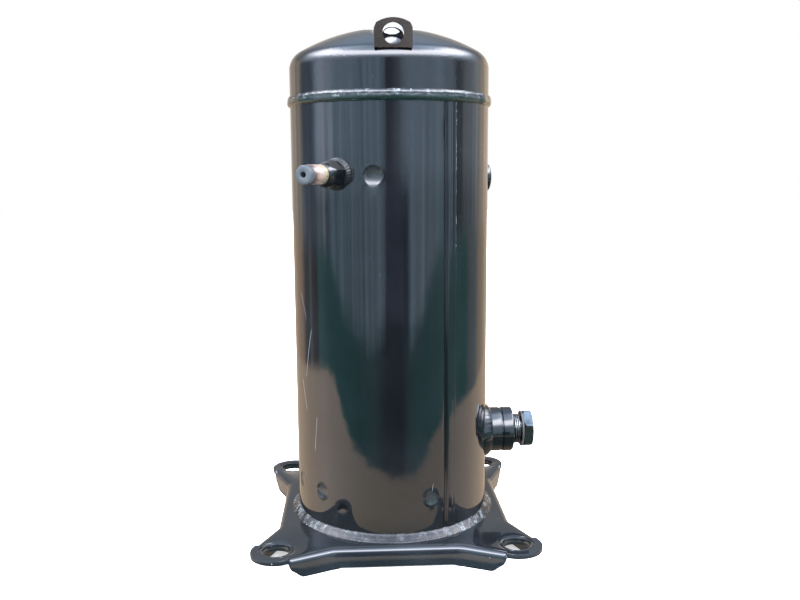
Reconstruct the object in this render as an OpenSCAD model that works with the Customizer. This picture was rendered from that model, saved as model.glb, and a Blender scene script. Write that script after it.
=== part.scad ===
// Hermetic scroll compressor on a four-eared base plate.
// Origin: centre of the four mounting holes, on the underside of the plate. Front is -Y, up is +Z.
// Angles of ports are counted from the front towards +X.

/* [Shell] */
// Outside diameter of the shell tube
shell_od = 165.2; // [164:0.1:166]
// Wall thickness of the shell and the caps
wall = 4.1; // [3.6:0.1:4.4]
// Height of the top rim of the shell tube
shell_top = 352; // [352:0.5:353]
// Crown radius of the top cap
crown_r = 150; // [148:1:152]
// Knuckle radius of the top cap
knuckle_r = 15; // [14:0.5:16]
// Height where the knuckle starts
knuckle_z = 379; // [378.5:0.5:380]

/* [Base plate] */
// Spacing of the mounting holes, both ways
foot_pitch = 190; // [188:1:192]
// Radius of a mounting hole
foot_hole_r = 11; // [8:0.5:11.5]
// Radius of an ear around its hole
ear_r = 20.5; // [19:0.5:22]
// Thickness of the pressed plate
plate_t = 4; // [3:0.5:4]
// Half width of the plate across its flanges
plate_half = 97; // [96:0.5:98]
// Half length of the straight middle of each flange
flat_half = 49; // [45:1:52]
// Depth of the flanges below the plate's underside
flange_depth = 13; // [12:0.5:14]

/* [Ports] */
// Height of the oil port
oil_z = 69; // [66:1:72]
// Height of the service stub
stub_z = 294.7; // [294:0.1:295]
// Angle of the service stub
stub_angle = -32; // [-34:1:-30]
// Height of the suction port
suction_z = 250; // [248:1:252]
// Angle of the suction port
suction_angle = 205; // [203:1:207]
// Height of the discharge port
discharge_z = 367; // [366:0.5:368]
// Height of the terminal box
terminal_z = 250; // [248:1:252]
// Angle of the terminal box
terminal_angle = 157; // [155:1:159]

/* [Scroll set] */
// Pitch of the scroll wraps
wrap_pitch = 17; // [17:0.1:17.4]
// Thickness of a wrap
wrap_t = 4; // [3.8:0.1:4]
// Orbit radius, the throw of the crank pin
orbit_r = 4.2; // [4:0.1:4.3]
// Height of the wraps
wrap_h = 19; // [17:0.5:19]

/* [Motor] */
// Length of the stator and rotor stacks
stack_len = 100; // [80:5:100]
// Bore radius of the stator
stator_bore_r = 45; // [44.8:0.1:45.4]
// Air gap between rotor and stator
air_gap = 0.6; // [0.5:0.1:0.8]
// Number of stator slots
slots = 24; // [18:6:24]
// Number of rotor bars
bars = 28; // [20:2:28]

/* [Hidden] */
$fn = 96;
eps = 0.05;
shell_r = shell_od / 2;
inner_r = shell_r - wall;
fit_r = inner_r - 0.05;
foot = foot_pitch / 2;
skirt_bottom = shell_top + 3.2;
crown_z = knuckle_z - sqrt(pow(crown_r - knuckle_r, 2) - pow(shell_r - knuckle_r, 2));

// Oil port, along +X
oil_angle = 90;
oil_thread_r = 13.2;
oil_boss_r = 19.5;
oil_boss_end = 106.8;
oil_plug_hex = 116.1;
oil_plug_end = 124.6;
oil_plug_flats = 30;

// Service stub
stub_tube_r = 7.35;
stub_hex_end = 97;
stub_boss_end = 103.5;
stub_tube_end = 121;
stub_bore_r = 5.6;

// Tube stubs on the back
suction_r = 11.1;
suction_end = 122;
discharge_r = 6.35;
discharge_angle = 180;
discharge_end = 116;
tube_wall = 2;

// Every tube is drawn thinner by this much where it sits in its boss or weld
root_step = 0.3;
stub_free_from = 104;
back_free_from = 90;

// Terminal box
cup_r = 24;
box_w = 70;
box_h = 78;
box_depth = 42;
box_floor = 84;
box_wall = 2.5;
cover_screw_x = 24;
pin_circle_r = 8.5;

// Lifting lug
lug_y = -82;
lug_w = 28.5;
lug_t = 4.6;
lug_hole_z = 397.5;

// Stack of the inner pieces, heights
lower_frame_z = 30;
lower_frame_t = 14;
stack_z = 92;
winding_end = 28;
frame_low = 282;
frame_top = 305;
thrust_face = 302.8;
plate_bottom = 305.1;
orbit_plate_t = 8;
wrap_z = plate_bottom + orbit_plate_t;
fixed_floor = wrap_z + wrap_h + 0.2;
fixed_top = fixed_floor + 10;
orbit_plate_r = 62;
frame_gap_angle = 58;

// Shaft
journal_r = 15;
lower_journal_r = 11;
pin_r = 10;
oil_way_r = 3;
clearance = 0.05;

// Scroll involute: base circle radius and sweep in degrees
base_r = wrap_pitch / (2 * PI);
wrap_start = 150;
wrap_end = 1200;
wrap_step = 6;

paint = "#15181c";
steel = "#9aa0a6";
iron = "#6b6e72";

// ---- shared shapes ----

// Places children at an angle and height, with local +Z pointing outwards from the axis
module port(angle, z) {
    rotate([0, 0, angle])
        translate([0, 0, z])
            rotate([90, 0, 0])
                children();
}

// Ring between two radii
module ring(outer, inner, low, high) {
    translate([0, 0, low])
        difference() {
            cylinder(h = high - low, r = outer);
            translate([0, 0, -1])
                cylinder(h = high - low + 2, r = inner);
        }
}

// Solid inside the outer surface of the shell, for trimming what sits on it
module shell_space() {
    translate([0, 0, -20])
        cylinder(h = knuckle_z + 20, r = shell_r, $fn = 360);
}

// Outline of the domed cap's half section, shrunk by inset and open below at the given height
function dome_outline(inset, low) =
    let (tilt = atan2(shell_r - knuckle_r, knuckle_z - crown_z),
         bend = knuckle_r - inset,
         crown = crown_r - inset)
    concat([[0, low], [shell_r - inset, low]],
        [for (k = [0:8]) let (a = (90 - tilt) * k / 8)
            [shell_r - knuckle_r + bend * cos(a), knuckle_z + bend * sin(a)]],
        [for (k = [1:12]) let (a = tilt * (1 - k / 12)) [crown * sin(a), crown_z + crown * cos(a)]]);

module dome_solid(inset, low) {
    rotate_extrude($fn = 180)
        polygon(dome_outline(inset, low));
}

// Weld fillet around a round boss on the shell, in the port's frame
module boss_fillet(foot_r, neck_r, bore_r, low, high) {
    difference() {
        translate([0, 0, low])
            cylinder(h = high - low, r1 = foot_r, r2 = neck_r);
        translate([0, 0, low - 1])
            cylinder(h = high - low + 2, r = bore_r);
    }
}

// ---- shell ----

module body_shell() {
    color(paint)
        difference() {
            translate([0, 0, plate_t])
                cylinder(h = shell_top - plate_t, r = shell_r, $fn = 180);
            translate([0, 0, plate_t - 1])
                cylinder(h = shell_top, r = inner_r, $fn = 180);
            port(oil_angle, oil_z)
                cylinder(h = 100, r = oil_thread_r + 0.1);
            port(stub_angle, stub_z)
                cylinder(h = 100, r = stub_tube_r - root_step);
            port(suction_angle, suction_z)
                cylinder(h = 100, r = suction_r - root_step);
            port(terminal_angle, terminal_z)
                cylinder(h = 100, r = cup_r - 2);
            weld_dimples();
        }
}

// Concave plug welds that hold the two frames
module weld_dimples() {
    for (angle = [-11.2, 128.8, 248.8])
        port(angle, 293.7)
            translate([0, 0, shell_r - 1.2])
                cylinder(h = 5, r = 7.35);
    for (angle = [-46.6, -69.9, 20.5, 110, 140, 230])
        port(angle, lower_frame_z + lower_frame_t / 2)
            translate([0, 0, shell_r - 0.6])
                cylinder(h = 5, r = 6.5);
}

module seam_weld() {
    color(paint)
        intersection() {
            ring(shell_r + 0.9, shell_r, 9.5, 348.7);
            rotate([0, 0, 33])
                translate([-4.5, -100, 0])
                    cube([9, 50, 360]);
        }
}

// Parts the suction gas below from the discharge gas above
module separator_plate() {
    mouth_r = 18;
    color(steel) {
        ring(shell_r, mouth_r, shell_top, skirt_bottom);
        ring(mouth_r + 3, mouth_r, skirt_bottom - eps, skirt_bottom + 4);
    }
}

module top_cap() {
    color(paint)
        difference() {
            dome_solid(0, skirt_bottom);
            dome_solid(wall, skirt_bottom - 1);
            port(discharge_angle, discharge_z)
                cylinder(h = 100, r = discharge_r - root_step);
        }
}

module top_weld() {
    bead_r = 2.1;
    color(paint)
        difference() {
            union() {
                ring(shell_r + bead_r, shell_r, 350.2, 356.8);
                for (z = [351.3, 355.6])
                    translate([0, 0, z])
                        rotate_extrude($fn = 180)
                            translate([shell_r, 0])
                                circle(r = 2.5, $fn = 32);
            }
            translate([0, 0, 300])
                cylinder(h = 100, r = shell_r, $fn = 180);
        }
}

module bottom_cap() {
    dish_r = 220;
    dish_low = -3;
    color(paint)
        rotate_extrude($fn = 180)
            difference() {
                intersection() {
                    union() {
                        translate([0, dish_low + dish_r])
                            circle(r = dish_r, $fn = 180);
                        translate([0, 14])
                            square([fit_r, 20]);
                    }
                    translate([0, dish_low])
                        square([fit_r, 28]);
                }
                translate([0, dish_low + dish_r])
                    circle(r = dish_r - 3.5, $fn = 180);
                translate([0, 12])
                    square([fit_r - 3.5, 30]);
            }
}

// ---- base plate ----

// Direction of the edge that leads from a flange's straight middle to an ear
ear_dx = foot - plate_half;
ear_dy = foot - flat_half;
ear_reach = norm([ear_dx, ear_dy]);
edge_dir = atan2(ear_dy, ear_dx) - asin(ear_r / ear_reach);

// One eighth of the plate's outline, from a flange's middle round half an ear
function outline_eighth(inset) =
    let (x = plate_half - inset,
         y = flat_half + inset * (1 - sin(edge_dir)) / cos(edge_dir),
         r = ear_r - inset,
         first = edge_dir - 90)
    concat([[x, y]], [for (k = [0:8]) let (a = first + (45 - first) * k / 8)
        [foot + r * cos(a), foot + r * sin(a)]]);

function mirrored(points) = [for (k = [len(points) - 1:-1:0]) [points[k][1], points[k][0]]];

function quarter(inset) = concat(outline_eighth(inset), mirrored(outline_eighth(inset)));

function turned(points, a) =
    [for (p = points) [p[0] * cos(a) - p[1] * sin(a), p[0] * sin(a) + p[1] * cos(a)]];

function outline(inset) = [for (k = [0:3]) each turned(quarter(inset), 90 * k)];

// Cuts the flange away around an ear and slopes its end
module flange_end_cut() {
    ear_line = 138;
    slope_start = 126.7;
    rotate([90, 0, 45])
        translate([0, 0, -70])
            linear_extrude(140)
                polygon([[slope_start, -flange_depth - 0.01], [ear_line, -6], [ear_line, 0], [180, 0],
                    [180, -30], [slope_start, -30]]);
}

// Shallow relief along the straight middle of a flange, so that the plate stands on its corners
module flange_relief() {
    low = -flange_depth;
    rotate([90, 0, 90])
        linear_extrude(120)
            polygon([[-flat_half, low - 0.01], [-flat_half + 4, low + 1.3], [flat_half - 4, low + 1.3],
                [flat_half, low - 0.01], [flat_half, low - 9], [-flat_half, low - 9]]);
}

module base_plate() {
    color(paint)
        difference() {
            union() {
                linear_extrude(plate_t)
                    polygon(outline(0));
                difference() {
                    translate([0, 0, -flange_depth])
                        linear_extrude(flange_depth + eps)
                            polygon(outline(0));
                    translate([0, 0, -flange_depth - 1])
                        linear_extrude(flange_depth + 1)
                            polygon(outline(plate_t));
                    for (k = [0:3])
                        rotate([0, 0, 90 * k]) {
                            flange_end_cut();
                            flange_relief();
                        }
                }
                for (x = [-foot, foot], y = [-foot, foot])
                    translate([x, y, -2])
                        cylinder(h = 2 + eps, r = foot_hole_r + 2.5);
            }
            for (x = [-foot, foot], y = [-foot, foot])
                translate([x, y, -10])
                    cylinder(h = 30, r = foot_hole_r);
            translate([0, 0, -10])
                cylinder(h = 30, r = 60);
        }
}

module base_weld() {
    color(paint)
        rotate_extrude($fn = 180)
            polygon([[shell_r, plate_t], [shell_r + 6, plate_t], [shell_r + 4.4, plate_t + 1.8],
                [shell_r + 1.8, plate_t + 4], [shell_r, plate_t + 5.4]]);
}

// ---- lifting lug ----

module lifting_lug() {
    low = 387.9;
    corner_z = 403;
    top_z = 408.5;
    bulge_r = 24;
    color(paint)
        difference() {
            union() {
                translate([0, lug_y + lug_t, 0])
                    rotate([90, 0, 0])
                        linear_extrude(lug_t)
                            intersection() {
                                translate([-lug_w / 2, low])
                                    square([lug_w, 40]);
                                union() {
                                    translate([0, top_z - bulge_r])
                                        circle(r = bulge_r);
                                    translate([-lug_w / 2, low - 1])
                                        square([lug_w, corner_z - low + 1]);
                                }
                            }
                translate([-lug_w / 2, 0, 0])
                    rotate([90, 0, 90])
                        linear_extrude(lug_w)
                            polygon([[lug_y, low], [lug_y, low + 4], [lug_y + lug_t, 395],
                                [-55, 406.8], [-52, 406.5], [-52, 400], [-70, 385]]);
            }
            dome_solid(0, skirt_bottom);
            translate([0, lug_y - 10, lug_hole_z])
                rotate([-90, 0, 0])
                    cylinder(h = 60, r = 8);
        }
}

// ---- oil port ----

module oil_port_weld() {
    color(paint)
        difference() {
            port(oil_angle, oil_z)
                boss_fillet(24.5, oil_boss_r, oil_boss_r, 77, 87.5);
            shell_space();
        }
}

module oil_port_boss() {
    chamfer = 1.2;
    color(paint)
        difference() {
            port(oil_angle, oil_z)
                rotate_extrude()
                    polygon([[oil_thread_r + 0.1, 70], [oil_boss_r, 70], [oil_boss_r, 95.9],
                        [oil_boss_r - 0.8, 96.1], [oil_boss_r - 0.8, 96.9], [oil_boss_r, 97.1],
                        [oil_boss_r, oil_boss_end - chamfer], [oil_boss_r - chamfer, oil_boss_end],
                        [oil_thread_r + 1.3, oil_boss_end], [oil_thread_r + 0.1, oil_boss_end - chamfer]]);
            shell_space();
        }
}

// Threaded plug: ridged shank, hexagon head with a chamfered rim
module oil_port_plug() {
    crest = oil_thread_r;
    root = oil_thread_r - 0.9;
    thread_pitch = 1.5;
    shank_start = 88;
    turns = floor((oil_plug_hex - shank_start - 1) / thread_pitch);
    hex_r = oil_plug_flats / 2 / cos(30);
    color(steel)
        port(oil_angle, oil_z) {
            rotate_extrude()
                polygon(concat([[0, shank_start]],
                    [for (k = [0:turns - 1]) each [[root, shank_start + k * thread_pitch],
                        [crest, shank_start + (k + 0.5) * thread_pitch]]],
                    [[root, shank_start + turns * thread_pitch], [root, oil_plug_hex + 0.1],
                        [0, oil_plug_hex + 0.1]]));
            intersection() {
                translate([0, 0, oil_plug_hex])
                    rotate([0, 0, 83])
                        cylinder(h = oil_plug_end - oil_plug_hex, r = hex_r, $fn = 6);
                translate([0, 0, oil_plug_hex])
                    cylinder(h = oil_plug_end - oil_plug_hex, r1 = hex_r - 0.6, r2 = hex_r + 3);
                translate([0, 0, oil_plug_hex - 3])
                    cylinder(h = oil_plug_end - oil_plug_hex + 3, r1 = hex_r + 4, r2 = hex_r - 1.2);
            }
        }
}

module plug_seal() {
    color("#2b2b2b")
        port(oil_angle, oil_z)
            ring(oil_thread_r + 2.4, oil_thread_r + 0.02, 114.4, oil_plug_hex);
}

// ---- service stub ----

module stub_weld() {
    color(paint)
        difference() {
            port(stub_angle, stub_z)
                boss_fillet(13.5, 10.8, 10.8, 77, 85);
            shell_space();
        }
}

module stub_boss() {
    color(paint)
        difference() {
            port(stub_angle, stub_z) {
                rotate([0, 0, 12])
                    cylinder(h = stub_hex_end, r = 10.8, $fn = 6);
                translate([0, 0, stub_hex_end - 1])
                    cylinder(h = stub_boss_end - stub_hex_end + 1, r1 = 9.3, r2 = 8.2);
            }
            shell_space();
            port(stub_angle, stub_z)
                cylinder(h = 120, r = stub_tube_r - root_step);
        }
}

// Tube along a port, with its thinner root down to just inside the shell
module stepped_tube(r, bore_r, free_from, end) {
    low = inner_r + 0.6;
    root_r = r - root_step;
    rotate_extrude()
        polygon([[bore_r, low], [root_r, low], [root_r, free_from],
            [r, free_from], [r, end], [bore_r, end]]);
}

module stub_tube() {
    color("#a9814a")
        port(stub_angle, stub_z)
            stepped_tube(stub_tube_r, stub_bore_r, stub_free_from, stub_tube_end);
}

// Push-in transport stopper: lip outside the tube, ribbed shank in its bore
module stopper(tube_r, bore_r, tube_end, lip_len, dimple_r) {
    shank_r = bore_r - 0.05;
    lip_r = tube_r - 0.3;
    difference() {
        rotate_extrude($fn = 64)
            polygon([[0, tube_end - 12], [shank_r - 0.8, tube_end - 12], [shank_r, tube_end - 11],
                [shank_r, tube_end + 0.05], [lip_r, tube_end + 0.05], [lip_r, tube_end + lip_len - 1],
                [lip_r - 1, tube_end + lip_len], [0, tube_end + lip_len]]);
        translate([0, 0, tube_end + lip_len - 8])
            cylinder(h = 10, r = dimple_r);
    }
}

module stub_stopper() {
    color("#596066")
        port(stub_angle, stub_z)
            stopper(stub_tube_r, stub_bore_r, stub_tube_end, 5.3, 2.25);
}

// Low round button that blanks an unused port
module blanking_plug() {
    proud = 4.6;
    color(paint)
        difference() {
            port(100, 291)
                rotate_extrude()
                    polygon([[0, 75], [12.6, 75], [12.6, shell_r + proud - 2.2],
                        [11.6, shell_r + proud - 0.8], [9.8, shell_r + proud], [0, shell_r + proud]]);
            shell_space();
        }
}

// ---- tube stubs on the back ----

module tube_stub(angle, z, r, end) {
    port(angle, z)
        stepped_tube(r, r - tube_wall, back_free_from, end);
}

module tube_collar(angle, z, foot_r, r) {
    difference() {
        port(angle, z)
            boss_fillet(foot_r, r, r - root_step, 76, shell_r + 6);
        shell_space();
    }
}

module suction_weld() {
    color(paint)
        tube_collar(suction_angle, suction_z, 17, suction_r);
}

module suction_fitting() {
    color("#b26a3c")
        tube_stub(suction_angle, suction_z, suction_r, suction_end);
}

module suction_stopper() {
    color("#596066")
        port(suction_angle, suction_z)
            stopper(suction_r, suction_r - tube_wall, suction_end, 8, 3);
}

module discharge_weld() {
    color(paint)
        tube_collar(discharge_angle, discharge_z, 9.6, discharge_r);
}

module discharge_fitting() {
    color("#b26a3c")
        tube_stub(discharge_angle, discharge_z, discharge_r, discharge_end);
}

module discharge_stopper() {
    color("#596066")
        port(discharge_angle, discharge_z)
            stopper(discharge_r, discharge_r - tube_wall, discharge_end, 7, 2);
}

// ---- terminals ----

// Three places around the middle of the terminal cup
module at_pins() {
    for (k = [0:2])
        rotate([0, 0, 90 + 120 * k])
            translate([pin_circle_r, 0, 0])
                children();
}

module terminal_cup() {
    color(steel)
        port(terminal_angle, terminal_z)
            difference() {
                translate([0, 0, 75])
                    cylinder(h = 9, r = cup_r - 2.05);
                translate([0, 0, 78])
                    cylinder(h = 9, r = cup_r - 4.5);
                at_pins()
                    translate([0, 0, 60])
                        cylinder(h = 40, r = 3.4);
            }
}

module terminal_pins() {
    color("#b8a46a")
        port(terminal_angle, terminal_z)
            at_pins() {
                translate([0, 0, 64])
                    cylinder(h = 42, r = 1.6);
                translate([0, 0, 98])
                    cylinder(h = 2.4, r = 3.2, $fn = 6);
            }
}

module pin_glass() {
    color("#8fb3a0")
        port(terminal_angle, terminal_z)
            at_pins()
                ring(3.4, 1.6, 74.4, 78.6);
}

// Rounded rectangle
module rounded(w, h, r) {
    union() {
        square([w - 2 * r, h], center = true);
        square([w, h - 2 * r], center = true);
        for (x = [-1, 1], y = [-1, 1])
            translate([x * (w / 2 - r), y * (h / 2 - r)])
                circle(r = r, $fn = 48);
    }
}

module terminal_box() {
    cable_hole_r = 10.5;
    color(paint)
        difference() {
            port(terminal_angle, terminal_z)
                difference() {
                    translate([0, 0, 60])
                        linear_extrude(box_floor + box_depth - 60)
                            rounded(box_w, box_h, 6);
                    translate([0, 0, box_floor])
                        linear_extrude(box_depth + 1)
                            rounded(box_w - 2 * box_wall, box_h - 2 * box_wall, 4);
                    translate([0, 0, 50])
                        cylinder(h = 60, r = cup_r + 0.5);
                    translate([0, -box_h / 2 - 5, box_floor + box_depth / 2])
                        rotate([-90, 0, 0])
                            cylinder(h = 12, r = cable_hole_r);
                }
            shell_space();
        }
    color(paint)
        port(terminal_angle, terminal_z)
            difference() {
                translate([cover_screw_x, -26, box_floor - 1])
                    cylinder(h = box_depth - 0.5, r = 4.2);
                translate([cover_screw_x, -26, box_floor + 20])
                    cylinder(h = 40, r = 2.1);
            }
}

module terminal_cover() {
    lip = 6;
    color("#202327")
        port(terminal_angle, terminal_z)
            difference() {
                translate([0, 0, box_floor + box_depth - lip])
                    linear_extrude(lip + 2.6)
                        rounded(box_w + 4.6, box_h + 4.6, 8);
                translate([0, 0, box_floor + box_depth - lip - 1])
                    linear_extrude(lip + 1.1)
                        rounded(box_w + 0.4, box_h + 0.4, 6.2);
                translate([cover_screw_x, -26, box_floor])
                    cylinder(h = 80, r = 2.3);
            }
}

module cover_screw() {
    head = box_floor + box_depth + 2.6;
    color(steel)
        port(terminal_angle, terminal_z)
            translate([cover_screw_x, -26, 0])
                difference() {
                    union() {
                        translate([0, 0, head - 14])
                            cylinder(h = 14, r = 2);
                        translate([0, 0, head])
                            cylinder(h = 2.6, r = 4.2);
                    }
                    for (a = [0, 90])
                        rotate([0, 0, a])
                            translate([-2.6, -0.5, head + 1.4])
                                cube([5.2, 1, 2]);
                }
}

module earth_screw() {
    color("#8a9a4a")
        port(terminal_angle, terminal_z)
            translate([-24, 26, 0])
                difference() {
                    translate([0, 0, box_floor])
                        cylinder(h = 6, r = 4.4, $fn = 6);
                    translate([-3, -0.6, box_floor + 5])
                        cube([6, 1.2, 2]);
                }
}

// ---- motor ----

module stator_core() {
    tooth = 360 / slots;
    color(iron)
        difference() {
            ring(fit_r, stator_bore_r, stack_z, stack_z + stack_len);
            translate([0, 0, stack_z - 1])
                linear_extrude(stack_len + 2)
                    for (k = [0:slots - 1])
                        rotate([0, 0, k * tooth])
                            slot_shape(0);
            for (angle = [28:90:298])
                rotate([0, 0, angle])
                    translate([-9, -fit_r - 2, stack_z - 1])
                        cube([18, 5.5, stack_len + 2]);
        }
}

// A stator slot: narrow mouth at the bore, wider towards the back
module slot_shape(inset) {
    mouth = inset > 0 ? [] : [[1.2, stator_bore_r + 3], [1.2, stator_bore_r - 3], [-1.2, stator_bore_r - 3],
        [-1.2, stator_bore_r + 3]];
    w1 = 2.9 - inset;
    w2 = 5 - inset;
    polygon(concat([[-w1, 48 + inset], [-w2, 66 - inset], [w2, 66 - inset], [w1, 48 + inset]], mouth));
}

module stator_winding() {
    low = stack_z - winding_end;
    high = stack_z + stack_len;
    color("#b5602c") {
        translate([0, 0, stack_z - 2])
            linear_extrude(stack_len + 4)
                for (k = [0:slots - 1])
                    rotate([0, 0, k * 360 / slots])
                        slot_shape(0.3);
        winding_end_ring(low + 1, stack_z - 1.9);
        winding_end_ring(high + 1.9, high + winding_end - 1);
    }
}

module winding_end_ring(low, high) {
    rotate_extrude()
        polygon([[50, low + 4], [54, low], [68, low], [72, low + 4], [72, high - 4], [68, high],
            [54, high], [50, high - 4]]);
}

module overload_protector() {
    color("#3a3d40")
        rotate([0, 0, 250])
            translate([60, 0, stack_z + stack_len + winding_end - 1])
                cylinder(h = 11, r = 8);
}

// Plug on the inner ends of the pins
module lead_block() {
    color("#e4ddc8")
        port(terminal_angle, terminal_z)
            difference() {
                translate([0, 0, 62])
                    linear_extrude(10)
                        rounded(30, 30, 6);
                at_pins()
                    translate([0, 0, 55])
                        cylinder(h = 30, r = 1.7);
            }
}

module motor_leads() {
    lead_low = stack_z + stack_len + winding_end - 1;
    color("#c8c4b8")
        for (k = [-1:1])
            rotate([0, 0, terminal_angle + 7 * k])
                translate([0, -66, lead_low])
                    cylinder(h = terminal_z - 15 - lead_low, r = 1.6, $fn = 24);
}

module rotor_core() {
    rotor_r = stator_bore_r - air_gap;
    color(iron)
        difference() {
            ring(rotor_r, journal_r, stack_z, stack_z + stack_len);
            rotor_bars(stack_z - 1, stack_len + 2);
        }
}

module rotor_bars(low, len) {
    for (k = [0:bars - 1])
        rotate([0, 0, k * 360 / bars])
            translate([39.5, 0, low])
                cylinder(h = len, r = 2.4, $fn = 24);
}

module rotor_cage() {
    color("#c9ccd0") {
        rotor_bars(stack_z - eps, stack_len + 2 * eps);
        ring(43.4, 28, stack_z - 8, stack_z);
        ring(43.4, 28, stack_z + stack_len, stack_z + stack_len + 8);
    }
}

// Half ring that balances the orbiting scroll
module counterweight(low, high, turn) {
    rotate([0, 0, turn])
        intersection() {
            ring(42, 24, low, high);
            translate([0, -60, low - 1])
                cube([60, 120, high - low + 2]);
        }
}

module upper_counterweight() {
    color("#b08a3c")
        counterweight(stack_z + stack_len + 8, stack_z + stack_len + 30, 180);
}

module lower_counterweight() {
    color("#b08a3c")
        counterweight(stack_z - 22, stack_z - 8, 0);
}

module crankshaft() {
    color(steel)
        difference() {
            union() {
                translate([0, 0, 18])
                    cylinder(h = 32.1, r = lower_journal_r);
                translate([0, 0, 50])
                    cylinder(h = 234, r = journal_r);
                translate([orbit_r, 0, 283.9])
                    cylinder(h = 18, r = pin_r);
            }
            translate([0, 0, 10])
                cylinder(h = 300, r = oil_way_r);
        }
}

module oil_pickup() {
    color(steel)
        rotate_extrude()
            polygon([[1.8, 5], [3, 5], [8, 12], [8, 18], [3, 18], [3, 12.5], [1.8, 10]]);
}

// ---- frames and bearings ----

module lower_frame() {
    arm_w = 18;
    color(iron)
        difference() {
            union() {
                ring(fit_r, 66, lower_frame_z, lower_frame_z + lower_frame_t);
                ring(22, lower_journal_r + 3, 26, 46);
                for (k = [0:2])
                    rotate([0, 0, 30 + 120 * k])
                        translate([17, -arm_w / 2, lower_frame_z])
                            cube([52, arm_w, lower_frame_t - 2]);
            }
            translate([0, 0, 20])
                cylinder(h = 40, r = lower_journal_r + 3);
        }
}

module lower_bearing() {
    color("#b08a3c")
        ring(lower_journal_r + 3, lower_journal_r + clearance, 26, 46);
}

module thrust_washer() {
    color(steel)
        ring(19, lower_journal_r + clearance, 46, 49.95);
}

// Places children at the four gas passages between frame and shell
module at_gas_ways() {
    for (k = [0:3])
        rotate([0, 0, frame_gap_angle + 90 * k])
            children();
}

module main_frame() {
    hub_low = 234;
    key_w = 8.2;
    color(iron)
        difference() {
            union() {
                translate([0, 0, frame_low])
                    cylinder(h = frame_top - frame_low, r = fit_r, $fn = 180);
                translate([0, 0, hub_low])
                    cylinder(h = frame_low - hub_low + 1, r = 27);
                translate([0, 0, frame_low - 10])
                    cylinder(h = 11, r1 = 34, r2 = 56);
            }
            translate([0, 0, hub_low - 1])
                cylinder(h = 80, r = journal_r + 3);
            translate([0, 0, 284.5])
                cylinder(h = 30, r = 24.6);
            translate([0, 0, thrust_face])
                cylinder(h = 10, r = 66.6);
            ring(60.8, 43.4, 296.6, 310);
            for (x = [-1, 1])
                translate([x * 52 - 8.7, -key_w / 2, 291])
                    cube([17.4, key_w, 20]);
            at_gas_ways()
                translate([-8, -fit_r - 2, frame_low - 20])
                    cube([16, 11, 60]);
            at_scroll_bolts()
                translate([0, 0, 288])
                    cylinder(h = 40, r = 3);
        }
}

module main_bearing() {
    color("#b08a3c")
        ring(journal_r + 3, journal_r + clearance, 236, 283);
}

// ---- scroll set ----

// Floats between the frame and the orbiting scroll, dragged round at half the orbit
module thrust_ring() {
    color("#c9a24a")
        translate([orbit_r / 2, 0, 0])
            ring(40.5, 27.6, thrust_face + 0.1, plate_bottom - 0.1);
}

// Ring with two keys below, along X, and two above, along Y
module oldham_ring() {
    key_w = 8;
    ring_low = 297;
    ring_high = 304.2;
    color("#aab0b5")
        translate([orbit_r, 0, 0]) {
            ring(56.2, 48, ring_low, ring_high);
            for (x = [-1, 1])
                translate([x * 52 - 4, -key_w / 2, 291.6])
                    cube([key_w, key_w, ring_low - 291.6 + 0.1]);
            for (y = [-1, 1])
                translate([-key_w / 2, y * 52 - 4, ring_high - 0.1])
                    cube([key_w, key_w, 4.2]);
        }
}

// Point of an involute at sweep t in degrees, pushed sideways by d base radii
function involute(t, d) = [base_r * (cos(t) + (t * PI / 180 + d) * sin(t)),
    base_r * (sin(t) - (t * PI / 180 + d) * cos(t))];

// Spiral wrap between two sweeps
module wrap(from, to) {
    d = wrap_t / 2 / base_r;
    polygon(concat([for (t = [from:wrap_step:to]) involute(t, d)],
        [for (t = [to:-wrap_step:from]) involute(t, -d)]));
}

module orbiting_scroll() {
    hub_low = 286;
    color("#8d9399")
        translate([orbit_r, 0, 0])
            difference() {
                union() {
                    translate([0, 0, plate_bottom])
                        cylinder(h = orbit_plate_t, r = orbit_plate_r);
                    ring(19, pin_r + 3, hub_low, plate_bottom + 1);
                    translate([0, 0, wrap_z - eps])
                        linear_extrude(wrap_h + eps)
                            wrap(wrap_start, wrap_end);
                }
                for (y = [-1, 1])
                    translate([-4.1, y * 52 - 8.7, plate_bottom - 1])
                        cube([8.2, 17.4, 4.6]);
            }
}

module hub_bearing() {
    color("#b08a3c")
        translate([orbit_r, 0, 0])
            ring(pin_r + 3, pin_r + clearance, 286.5, 304.5);
}

// Places children at the four bolts that clamp the fixed scroll
module at_scroll_bolts() {
    for (k = [0:3])
        rotate([0, 0, frame_gap_angle + 45 + 90 * k])
            translate([0, -72.3, 0])
                children();
}

module fixed_scroll() {
    rim_r = 77;
    wall_r = 67;
    port_r = 5;
    color("#8d9399")
        difference() {
            union() {
                ring(rim_r, wall_r, frame_top, fixed_floor + 1);
                translate([0, 0, fixed_floor])
                    cylinder(h = fixed_top - fixed_floor, r = rim_r);
                translate([0, 0, wrap_z + 0.2])
                    linear_extrude(fixed_floor - wrap_z)
                        rotate(180)
                            wrap(wrap_start, wrap_end + 180);
                ring(38, 34, fixed_top - 1, fixed_top + 6.5);
                ring(22, 18.5, fixed_top - 1, fixed_top + 6.5);
            }
            translate([0, 0, fixed_floor - 1])
                cylinder(h = 30, r = port_r);
            for (angle = [frame_gap_angle, frame_gap_angle + 180])
                rotate([0, 0, angle])
                    translate([-17, -90, wrap_z + 2])
                        cube([34, 24, 13]);
            at_scroll_bolts()
                translate([0, 0, 300])
                    cylinder(h = 60, r = 3);
        }
}

module scroll_bolts() {
    color("#303338")
        at_scroll_bolts()
            difference() {
                union() {
                    translate([0, 0, 289])
                        cylinder(h = fixed_top - 289 + 0.1, r = 3);
                    translate([0, 0, fixed_top])
                        cylinder(h = 6, r = 4.6);
                }
                translate([0, 0, fixed_top + 3])
                    cylinder(h = 4, r = 2.9, $fn = 6);
            }
}

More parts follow.
